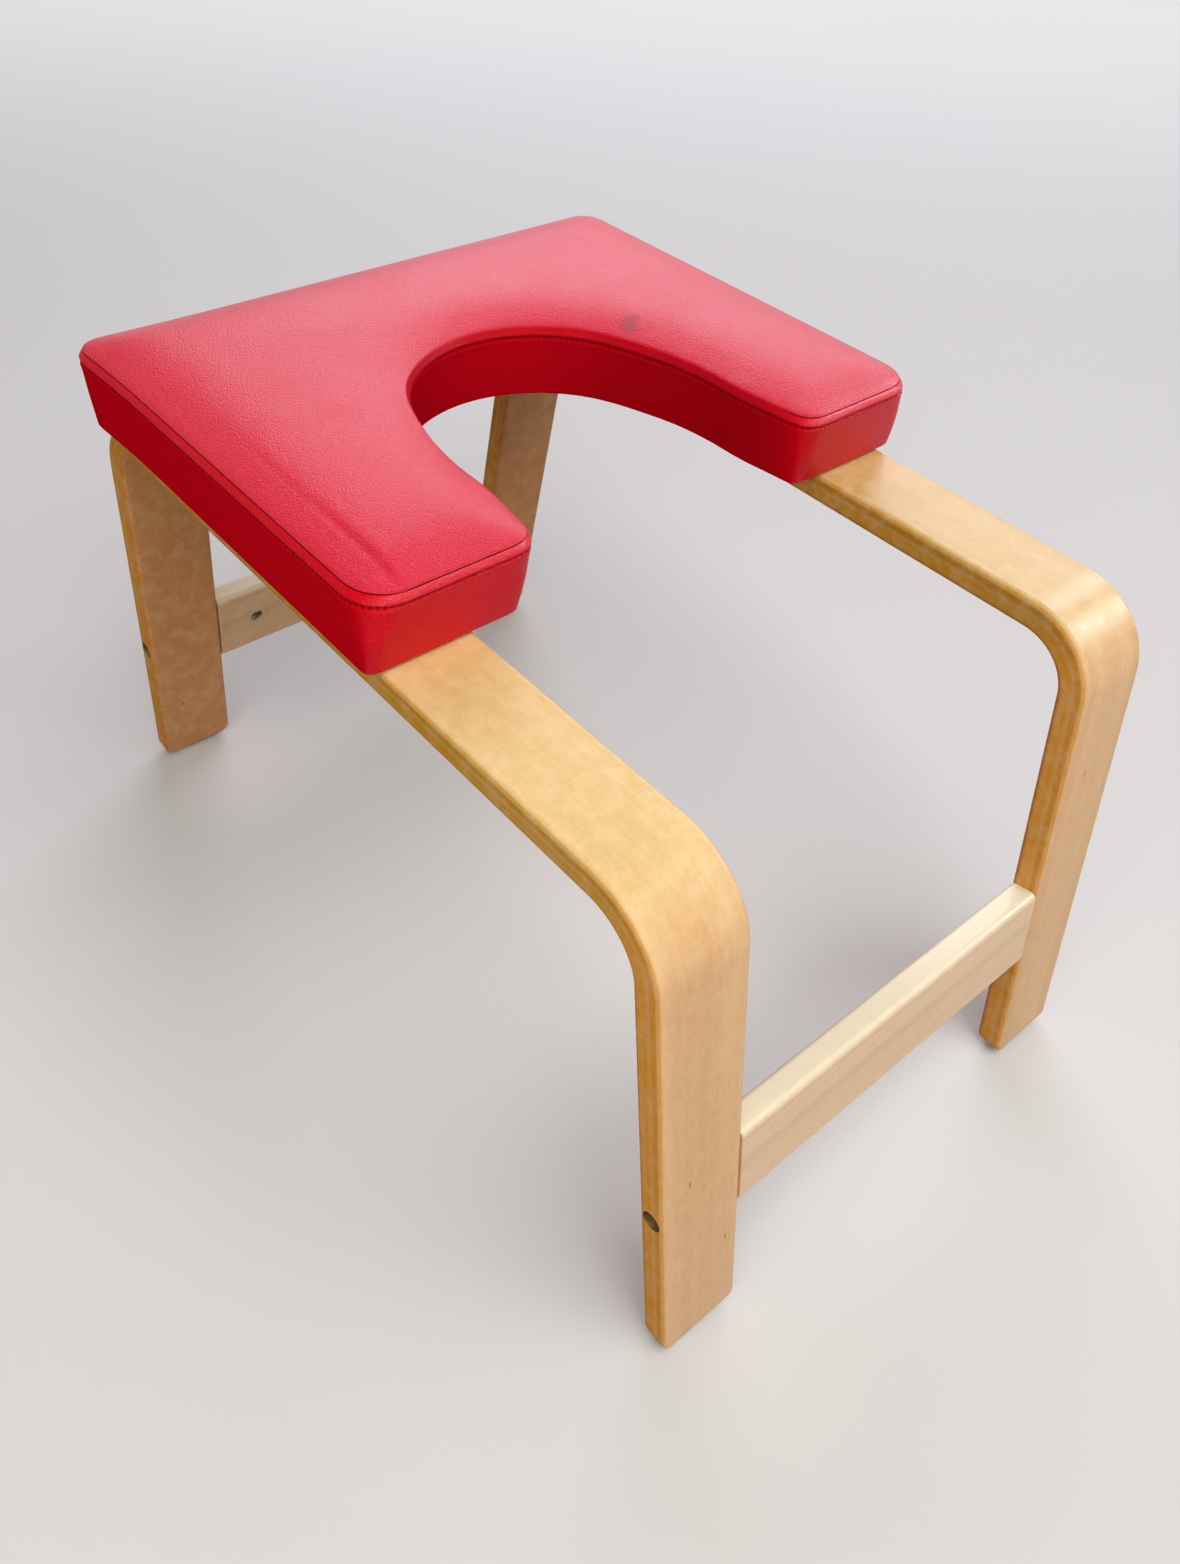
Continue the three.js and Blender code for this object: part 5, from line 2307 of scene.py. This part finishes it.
    def below_seam(self, dips: Sequence[float]) -> list[float]:
        """Returns the heights that lie some way below the seam."""
        return [self.seam - dip for dip in dips]

    def band_path(self) -> list[Pair]:
        """Lists the side cover's outer face, from the lip's edge round the fold and up into the seam.

        Returns:
            Inset and height of each row.
        """
        path = [(inset, self.lip_bottom) for inset in (self.lip, 17.0, 14.0, 11.0, 8.0, 5.5, 3.6)]
        for angle in np.linspace(-RIGHT_ANGLE, -math.pi, 6):
            out, up = 1.0 + math.cos(angle), 1.0 + math.sin(angle)
            path.append((self.band_tuck + self.fold * out, self.lip_bottom + self.fold * up))
        path += self.band_points(np.arange(5.0, self.seam - 9.0, 3.0))
        path += self.band_points(self.below_seam((
            9.0, 8.2, 7.6, 7.1, 6.7, 6.3, 6.0, 5.7, 5.3, 4.9, 4.4, 3.8, 3.1, 2.5, 2.0, 1.6, 1.25, 0.95, 0.75,
            0.64,
        )))
        inwards = ((0.18, 0.8), (0.32, 1.3), (0.4, 2.3))
        return path + [(self.seam_tuck + inset, self.seam - dip) for inset, dip in inwards]

    def crown_path(self) -> list[Pair]:
        """Lists the top cover's outer rows, from its edge in the seam to where the crown levels out.

        Returns:
            Inset and height of each row.
        """
        turned_in = ((0.95, 1.7), (0.75, 1.05), (0.4, 0.5), (0.1, 0.15))
        insets = [
            *np.linspace(0.0, 3.0, 8), *np.arange(4.0, 12.0, 1.6), *np.arange(12.5, 26.0, 1.1),
            *np.arange(27.0, 36.0, 2.2),
        ]
        path = [(self.seam_tuck + inset, self.seam - dip) for inset, dip in turned_in]
        return path + [self.crown_point(inset) for inset in insets]

    def filled(
        self, edge: np.ndarray, height: float, step: float, phase: float = 0.0,
    ) -> tuple[np.ndarray, list[tuple[int, ...]]]:
        """Fills a flat outline with even triangles.

        Args:
            edge: The outline's points.
            height: The height of the points inside it.
            step: The distance between those.
            phase: A shift of their rows, as a share of the step.

        Returns:
            The outline's points followed by those inside, and the triangles.
        """
        flat = edge[:, :2]
        low, high = flat.min(axis=0), flat.max(axis=0)
        rows = []
        for k, y in enumerate(np.arange(low[1] + step * (0.5 + phase), high[1], step * 0.87)):
            xs = np.arange(low[0] + step * (0.5 if k % 2 else 0.0), high[0], step)
            rows.append(np.column_stack([xs, np.full(len(xs), y)]))
        inside = np.vstack(rows)
        inside = inside[self.depth_in(inside, flat) > 0.55 * step]
        points = [Vector(p) for p in np.vstack([flat, inside])]
        edges = [(i, (i + 1) % len(flat)) for i in range(len(flat))]
        made = geometry.delaunay_2d_cdt(points, edges, [list(range(len(flat)))], 1, 1e-6)
        filled = at_height(np.array([tuple(p) for p in made[0]]), height)
        filled[:len(edge), 2] = edge[:, 2]
        return filled, [tuple(face) for face in made[2]]

    def depth_in(self, points: np.ndarray, outline: np.ndarray) -> np.ndarray:
        """Returns how far points lie inside a closed outline, negative outside it.

        Args:
            points: The points, in millimetres.
            outline: The outline's points.

        Returns:
            The depths.
        """
        least = np.full(len(points), np.inf)
        crossings = np.zeros(len(points), int)
        for start, stop in zip(outline, np.roll(outline, -1, axis=0)):
            way, to = stop - start, points - start
            share = np.clip(to @ way / max(way @ way, 1e-12), 0.0, 1.0)
            least = np.minimum(least, np.linalg.norm(to - share[:, None] * way, axis=1))
            straddles = (start[1] > points[:, 1]) != (stop[1] > points[:, 1])
            at = start[0] + to[:, 1] / (way[1] if way[1] else 1e-12) * way[0]
            crossings += straddles & (points[:, 0] < at)
        return np.where(crossings % 2 == 1, least, -least)

    def cushion_form(self) -> Piece:
        """Makes a closed copy of the cushion of even small faces.

        Returns:
            The form.
        """
        rows = [(self.band_tuck, 2.0), (self.band_tuck, 10.0), (0.3, 18.0), (0.0, 28.0)]
        rows += [(0.0, self.seam - 6.0), (self.seam_tuck * 0.6, self.seam - 1.5)]
        rows += [self.crown_point(inset) for inset in (0.0, 3.0, 8.0, 15.0, 25.0, 36.0)]
        points, faces = loft([self.ring(inset, height, 6.0) for inset, height in rows])
        form = new_piece("cushion_form", self.raised(points), faces)
        modify(form, "REMESH", mode="VOXEL", voxel_size=self.voxel * MM)
        return form

    def held_share(self, points: np.ndarray) -> np.ndarray:
        """Returns how firmly the board and the seam hold points of the cushion, from 0 to 1.

        Args:
            points: The points, in millimetres.

        Returns:
            The shares.
        """
        level = points[:, 2] - self.frame.top
        edge_in = self.depth_in(points[:, :2], self.ring(0.0, self.seam, 6.0)[:, :2])
        at_board = 1.0 - smoothstep(level, self.board_top, self.board_top + 8.0)
        at_seam = hump(level - self.seam, 4.5) * hump(np.maximum(edge_in, 0.0), 6.0)
        return np.clip(at_board + at_seam, 0.0, 1.0)

    def blow_up(self, form: Piece, held: np.ndarray) -> None:
        """Blows up a closed form as cloth under pressure.

        Args:
            form: The form.
            held: How firmly each of its corners is held.
        """
        group = form.vertex_groups.new(name="held")
        for index, weight in enumerate(held):
            group.add([index], float(weight), "REPLACE")
        cloth = form.modifiers.new("cloth", "CLOTH")
        settings = cloth.settings
        settings.use_pressure = True
        settings.uniform_pressure_force = self.pressure
        settings.effector_weights.gravity = 0.0
        settings.vertex_group_mass = "held"
        settings.quality = 6
        settings.tension_stiffness = settings.compression_stiffness = 25.0
        settings.bending_stiffness = 4.0
        cloth.collision_settings.use_collision = False
        cloth.point_cache.frame_start, cloth.point_cache.frame_end = 1, self.cloth_steps
        for number in range(1, self.cloth_steps + 1):
            bpy.context.scene.frame_set(number)
        apply_modifiers(form)
        bpy.context.scene.frame_set(1)

    def swelling(self) -> Move:
        """Blows up a copy of the cushion and keeps how far it moves.

        The underside, the board's edge and the seam are held.

        Returns:
            A function from points, in millimetres, to their moves.
        """
        form = self.cushion_form()
        before = read_points(form.data) / MM
        self.blow_up(form, self.held_share(before))
        moves = read_points(form.data) / MM - before
        lengths = np.linalg.norm(moves, axis=1)
        moves *= (np.minimum(lengths, self.swell_cap) / np.maximum(lengths, 1e-9))[:, None] * self.swell_share
        log.info("cushion blown up: %d points, %.2f mm at most", len(before), lengths.max())
        tree = kdtree.KDTree(len(before))
        for index, point in enumerate(before):
            tree.insert(point, index)
        tree.balance()
        discard(form)

        def move(points: np.ndarray) -> np.ndarray:
            """Returns the moves of points, each from the eight nearest points of the cushion.

            Args:
                points: The points, in millimetres.

            Returns:
                The moves.
            """
            result = np.zeros_like(points)
            for row, point in enumerate(points):
                near = tree.find_n(point, 8)
                weights = np.array([hump(far, 7.0) + 1e-6 for _, _, far in near])
                result[row] = weights @ moves[[index for _, index, _ in near]] / weights.sum()
            return result

        return move

    def crease(self, points: np.ndarray) -> np.ndarray:
        """Returns the drop of a long soft crease along the left arm, at points in millimetres.

        Args:
            points: The points, in millimetres.

        Returns:
            The drops.
        """
        off, back = points[:, 0] - self.crease_x, -points[:, 1]
        along = 0.25 * smoothstep(back, -125.0, -60.0) + 0.75 * smoothstep(back, -50.0, 45.0)
        valley = -0.65 * hump(off, 2.2) - 0.35 * hump(off + 4.5, 5.0)
        return (valley + 0.25 * hump(off - 5.5, 4.0)) * along

    def tight(self, points: np.ndarray) -> np.ndarray:
        """Returns 1 round the opening, where the seam is pulled tight, and 0 elsewhere."""
        inner = (np.abs(points[:, 0]) < 118.0) & (points[:, 1] < 150.0)
        return inner * smoothstep(points[:, 1], -56.0, -30.0)

    def thicken(self, piece: Piece) -> None:
        """Gives an open cover its thickness inwards and smooths its shading."""
        modify(piece, "SOLIDIFY", thickness=self.cover * MM, offset=-1.0, use_even_offset=False)
        shade_smooth(piece)

    def skin(self, path: Sequence[Pair], step: float) -> tuple[np.ndarray, Faces, int]:
        """Lofts an open skin through the rows of a path.

        Args:
            path: Inset and height of each row.
            step: The rough distance between the points of a row.

        Returns:
            The corners, the faces and the number of corners in a row.
        """
        rings = [self.ring(inset, height, step) for inset, height in path]
        return *loft(rings, ends=False), len(rings[0])

    def build_top(self, swell: Move, finish: Material) -> None:
        """Makes the crowned top cover, turned in at the seam and a cover's thickness through.

        Args:
            swell: How far the stuffing moves points.
            finish: The material.
        """
        path = self.crown_path()
        shell, faces, count = self.skin(path, 4.0)
        start = len(shell) - count
        inner, triangles = self.filled(shell[start:], path[-1][1], 4.2)
        points = np.vstack([shell, inner[count:]])
        faces += [[start + i for i in face] for face in triangles]
        deep = self.depth_in(points[start:, :2], self.ring(0.0, self.seam)[:, :2])
        points[start:, 2] = self.seam + self.crown((deep - self.seam_tuck) / self.crown_reach)
        insets = np.full(len(points), path[-1][0])
        insets[:len(shell)] = np.repeat([inset for inset, _ in path], count)
        self.round_crown(points, insets)
        world = self.raised(points)
        free = smoothstep(insets, self.seam_tuck + 0.5, self.seam_tuck + 9.0)
        world += swell(world) * free[:, None]
        world[:, 2] += self.crease(world) * smoothstep(insets, 1.9, 3.5)
        piece = new_piece("pad_top_cover", world, faces)
        turned_in = np.arange(len(points)) < 4 * count
        # The seam mark: the turned-in rows, where painted shade of the seam's groove goes, none round the
        # opening.
        set_attribute(piece.data, "seam", turned_in * (1.0 - self.tight(points)))
        self.thicken(piece)
        hand_over(piece, finish, ["pad_top_panel"])

    def build_band(self, swell: Move, finish: Material) -> np.ndarray:
        """Makes the side cover with its topstitched ridge and turned-in lip.

        Args:
            swell: How far the stuffing moves points.
            finish: The material.

        Returns:
            The line of the stitches.
        """
        path = self.band_path()
        points, faces, count = self.skin(path, 3.0)
        insets, heights = (np.repeat(values, count) for values in zip(*path))
        world, drop, tight = self.raised(points), self.seam - heights, self.tight(points)
        free = smoothstep(heights, self.board_top, self.board_top + 6.0) * smoothstep(drop, 7.0, 12.0)
        ridge = (1.0 - smoothstep(drop, 4.0, 5.4)) * smoothstep(drop, 1.2, 2.5) * 0.35
        world += swell(world) * (free + ridge)[:, None]
        world[:, 2] += self.ridge_lift * tight * (1.0 - smoothstep(drop, 0.8, 2.8))
        x, y = world[:, 0], world[:, 1]
        ripple = np.sin(x * 0.19 + 1.0) + np.sin(y * 0.23) + np.sin((x - y) * 0.11)
        pleat = (heights < 2.0) * smoothstep(insets, 6.0, 14.0)
        world[:, 2] += 0.25 * np.maximum(ripple / 3.0, 0.0) * pleat
        piece = new_piece("pad_side_cover", world, faces)
        row = [height for _, height in path].index(self.stitch_height) * count
        line = world[row:row + count].copy()
        self.lay_run(piece, path, line)
        # The seam mark: the rows next to the seam, where painted shade of its groove goes, none round the
        # opening.
        set_attribute(piece.data, "seam", (1.0 - smoothstep(drop, 0.6, 0.9)) * (1.0 - tight))
        set_attribute(piece.data, "ridge", 1.0 - smoothstep(drop, 4.6, 5.6))
        # The opening mark: where painted shade goes round the opening.
        set_attribute(piece.data, "opening", tight)
        # The stitch mark: where the band is dented, and painted in shade at the holes.
        set_attribute(piece.data, "stitch", hump(heights - self.stitch_height, 1.1) * (insets < 3.0))
        self.thicken(piece)
        hand_over(piece, finish, ["pad_side_band"])
        return line

    def lay_run(self, piece: Piece, path: Sequence[Pair], line: np.ndarray) -> None:
        """Gives the band a UV map in metres: the run along the stitches, and the row's height.

        Args:
            piece: The band, still a skin.
            path: Inset and height of each of its rows.
            line: The row of the stitches.
        """
        count = len(line)
        steps = np.linalg.norm(np.roll(line, -1, axis=0) - line, axis=1)
        run = np.concatenate([[0.0], np.cumsum(steps)]) * MM
        corners = np.empty(len(piece.data.loops), int)
        piece.data.loops.foreach_get("vertex_index", corners)
        quads = corners.reshape(-1, 4)
        column = quads % count
        wraps = column.max(axis=1) - column.min(axis=1) > 1
        column[wraps] = np.where(column[wraps] == 0, count, column[wraps])
        rows = np.array([height for _, height in path])[quads // count] * MM
        layer = piece.data.uv_layers.new(name="run")
        layer.data.foreach_set("uv", np.stack([run[column], rows], axis=2).ravel())

    def sew(self, line: np.ndarray, shop: Shop, thread: Material) -> None:
        """Sets a topstitch in the band's dent at every pitch.

        Args:
            line: The row of the stitches, which is moved in.
            shop: The shop that has the shared groups and trees.
            thread: The thread's material.
        """
        run = float(np.linalg.norm(np.roll(line, -1, axis=0) - line, axis=1).sum())
        tangent = np.roll(line, -1, axis=0)[:, :2] - np.roll(line, 1, axis=0)[:, :2]
        outward = np.stack([tangent[:, 1], -tangent[:, 0]], axis=1) / np.linalg.norm(tangent, axis=1)[:, None]
        line[:, :2] -= outward * self.stitch_sunk
        stitches = Row(run / round(run / self.stitch_pitch), 2.6, 0.55, 0.75, 0.06, 23)
        stitches.lay("pad_topstitching", line, True, shop, thread)

    def build_foam(self, swell: Move, finish: Material) -> None:
        """Makes the foam that fills the covers above the board.

        Args:
            swell: How far the stuffing moves points.
            finish: The material.
        """
        skin = self.cover + self.contact
        rows = [(self.band_tuck + skin, self.board_top + self.contact)]
        heights = [20.0, 24.0, 28.0, 32.0, 36.0, *self.below_seam((8.0, 6.8, 6.0, 5.2, 4.0, 3.0))]
        rows += [(inset + skin, height) for inset, height in self.band_points(heights)]
        spare = skin + self.foam_spare
        for share in (0.0, 0.04, 0.09, 0.15, 0.22, 0.3, 0.4, 0.52, 0.65, 0.8, 0.95):
            inset = self.seam_tuck + share * self.crown_reach + (1.0 - share) * spare
            rows.append((inset, self.seam + float(self.crown(share)) - spare))
        points, faces, count = self.skin(rows, 5.0)
        last = len(points) - count
        for first, step, phase, way in ((0, 9.0, 0.0, -1), (last, 7.0, 0.2, 1)):
            edge = points[first:first + count]
            fill, triangles = self.filled(edge, edge[0, 2], step, phase)
            added = len(points) - count
            faces += [[(first if i < count else added) + i for i in face][::way] for face in triangles]
            points = np.vstack([points, fill[count:]])
        world = self.raised(points)
        free = smoothstep(points[:, 2], self.board_top + 3.0, self.board_top + 9.0)
        world += swell(world) * free[:, None]
        piece = new_piece("pad_foam", world, faces)
        shade_smooth(piece)
        hand_over(piece, finish, ["pad_foam_core"])

    def build_lining(self, finish: Material) -> None:
        """Makes the underside lining, a thin sheet between the lip and the frames' rails.

        Args:
            finish: The material.
        """
        edge = self.ring(self.lining_inset, self.contact, 5.0)
        count = len(edge)
        low, triangles = self.filled(edge, self.contact, 8.0)
        high = low + np.array([0.0, 0.0, self.lining_thickness])
        faces: Faces = [face[::-1] for face in triangles]
        faces += [[len(low) + i for i in face] for face in triangles]
        faces += [[i, (i + 1) % count, len(low) + (i + 1) % count, len(low) + i] for i in range(count)]
        piece = new_piece("pad_lining", self.raised(np.vstack([low, high])), faces)
        hole, rail_x = rod(self.frame.bolt_bore, -5.0, 5.0, 24), abs(self.frame.centre)
        spots = [(side.value * rail_x, y, self.frame.top) for side in Side for y in self.frame.pad_bolts]
        cut(piece, [aimed(hole, spot) for spot in spots])
        shade_smooth(piece)
        piece.data.set_sharp_from_angle(angle=math.radians(40.0))
        hand_over(piece, finish, ["pad_underside_lining"])

    def staple(self, shop: Shop, steel: Material) -> None:
        """Sets staples round the lining's edge, clear of the frames' rails.

        Args:
            shop: The shop that has the shared groups and trees.
            steel: The steel's material.
        """
        line = self.raised(self.ring(self.staple_inset, self.contact, 5.0) + np.array([0.0, 0.0, 0.02]))
        clear = np.abs(np.abs(line[:, 0]) - abs(self.frame.centre)) > self.staple_clear
        turns = np.flatnonzero(np.diff(np.concatenate([[False], clear, [False]])))
        spans = [(start, stop) for start, stop in turns.reshape(-1, 2) if stop - start > 8]
        for number, (start, stop) in enumerate(spans, 1):
            staples = Row(27.0, 9.6, 0.55, 0.0, 0.12, 29 + number)
            staples.lay(f"lining_staples_{number}", line[start + 1:stop - 1], False, shop, steel)

    def build(self, shop: Shop, steel: Material) -> None:
        """Makes and dresses all of the pad.

        Args:
            shop: The shop that has the shared groups and trees.
            steel: The steel's material.
        """
        swell = self.swelling()
        self.build_top(swell, Leatherette().make(shop))
        line = self.build_band(swell, BandLeatherette(pitch=self.stitch_pitch).make(shop))
        self.sew(line, shop, Thread().make(shop))
        self.build_foam(swell, Foam().make(shop))
        self.build_lining(Lining().make(shop))
        self.staple(shop, steel)
        dress_solids(["pad_base_board"], Plywood().make(shop))


# Studio


@dataclass
class Studio:
    """Plain pale floor, soft light and the camera, in metres."""

    floor_half: float = 9.0
    pale: Colour = (0.62, 0.615, 0.605)
    bounce: Colour = (0.24, 0.205, 0.17)
    background: Colour = (0.76, 0.76, 0.755)
    room: Colour = (1.0, 0.93, 0.85)
    room_strength: float = 0.185
    camera_place: Point = (-0.4048, -0.4321, 0.6965)
    camera_axes: tuple[Point, Point, Point] = (
        (0.765992, 0.423390, -0.483733), (-0.640310, 0.569326, -0.515626), (0.057091, 0.704705, 0.707200),
    )
    lens: float = 27.467
    shift: Pair = (0.0094, -0.0045)
    target: Point = (0.0, 0.05, 0.3)

    def build_floor(self) -> None:
        """Lays the floor."""
        half = self.floor_half / MM
        corners = [(sx * half, sy * half, 0.0) for sx, sy in ((-1, -1), (1, -1), (1, 1), (-1, 1))]
        floor = new_piece("studio_floor", corners, [(0, 1, 2, 3)])
        material = bpy.data.materials.new("pale floor")
        material.use_nodes = True
        graph = Graph(material.node_tree)
        place = graph.add("ShaderNodeTexCoord").outputs["Object"]
        shade = graph.mix(graph.noise(place, 3.0, 3.0), self.pale, tuple(0.985 * part for part in self.pale))
        shown, far = self.shown(graph), graph.rise(graph.length(place), 1.1, 3.4)
        graph.fill(
            material.node_tree.nodes["Principled BSDF"], Roughness=0.8, Specular_IOR_Level=0.15,
            Base_Color=graph.mix(shown, self.bounce, graph.mix(far, shade, (0.0, 0.0, 0.0))),
            Emission_Color=self.background, Emission_Strength=graph.times(shown, far),
        )
        floor.data.materials.append(material)

    def shown(self, graph: Graph) -> Socket:
        """Returns 1 for the rays that show the background: the eye's, reflected and passing ones.

        Args:
            graph: The material's graph.

        Returns:
            The mask.
        """
        rays = graph.add("ShaderNodeLightPath").outputs
        seen = graph.math("MAXIMUM", rays["Is Camera Ray"], rays["Is Glossy Ray"])
        return graph.math("MAXIMUM", seen, rays["Is Transmission Ray"])

    def light_world(self) -> None:
        """Fills the room with soft light, and shows a pale background to the eye and in reflections."""
        world = bpy.data.worlds.new("studio")
        world.use_nodes = True
        bpy.context.scene.world = world
        graph = Graph(world.node_tree)
        world.node_tree.nodes.clear()
        fill = graph.add("ShaderNodeBackground", {"Color": self.room, "Strength": self.room_strength})
        seen = graph.add("ShaderNodeBackground", {"Color": self.background, "Strength": 1.0})
        parts = {0: self.shown(graph), 1: fill.outputs[0], 2: seen.outputs[0]}
        both = graph.add("ShaderNodeMixShader", parts)
        graph.add("ShaderNodeOutputWorld", {0: both.outputs[0]})

    def add_lamp(
        self, name: str, place: Point, size: Pair, power: float, tint: Colour, diffuse: bool = True,
    ) -> None:
        """Hangs one soft area lamp, aimed at the stool.

        Args:
            name: The lamp's name.
            place: Where it hangs.
            size: Its width and height.
            power: Its power in watts.
            tint: Its colour.
            diffuse: Whether it lights more than gloss.
        """
        lamp = bpy.data.lights.new(name, "AREA")
        lamp.shape = "RECTANGLE"
        lamp.size, lamp.size_y = size
        lamp.energy = power
        lamp.color = tint
        holder = bpy.data.objects.new(name, lamp)
        holder.location = place
        holder.rotation_euler = (Vector(self.target) - Vector(place)).to_track_quat("-Z", "Y").to_euler()
        holder.visible_diffuse = diffuse
        bpy.context.scene.collection.objects.link(holder)

    def add_lamps(self) -> None:
        """Hangs a broad lamp overhead, a window at the rear right, a fill at the left and two glints."""
        self.add_lamp("overhead", (0.05, -1.25, 2.4), (2.2, 2.2), 60.0, (1.0, 0.985, 0.96))
        self.add_lamp("window", (2.80, 2.81, 2.42), (3.9, 2.0), 140.0, (0.88, 0.86, 1.0))
        self.add_lamp("left_fill", (-1.1, -0.6, 0.9), (0.9, 0.9), 6.4, (1.0, 0.97, 0.92))
        self.add_lamp("glint", (1.75, -0.97, 1.28), (0.7, 0.45), 34.0, (1.0, 0.99, 0.98), False)
        self.add_lamp("side_glint", (2.03, 0.05, 1.4), (0.5, 0.5), 26.0, (0.92, 0.86, 1.0), False)

    def set_camera(self) -> None:
        """Sets the camera."""
        camera = bpy.data.objects.new("camera", bpy.data.cameras.new("camera"))
        camera.data.lens = self.lens
        camera.data.sensor_width = 36.0
        camera.data.shift_x, camera.data.shift_y = self.shift
        camera.data.clip_start, camera.data.clip_end = 0.02, 60.0
        camera.matrix_world = Matrix.Translation(self.camera_place) @ Matrix(self.camera_axes).to_4x4()
        bpy.context.scene.collection.objects.link(camera)
        bpy.context.scene.camera = camera

    def build(self) -> None:
        """Sets up the whole studio."""
        self.set_camera()
        self.build_floor()
        self.light_world()
        self.add_lamps()
        bpy.context.scene.view_settings.view_transform = "Standard"


def main() -> None:
    """Builds the stool's pieces in order."""
    Studio().build()
    rail = BentFrame()
    shop = Shop(rail)
    steel = Steel().make(shop)
    for side in Side:
        strip = BentFrame(side)
        strip.build(strip.wood().make(shop, rail))
    for end in End:
        cross = CrossRail(end, rail)
        cross.build(cross.wood().make(shop))
    Hardware(rail).build(shop, steel)
    Pad(rail).build(shop, steel)
    log.info("all pieces made")


if __name__ == "__main__":
    logging.basicConfig(level=logging.INFO, format="%(message)s")
    main()
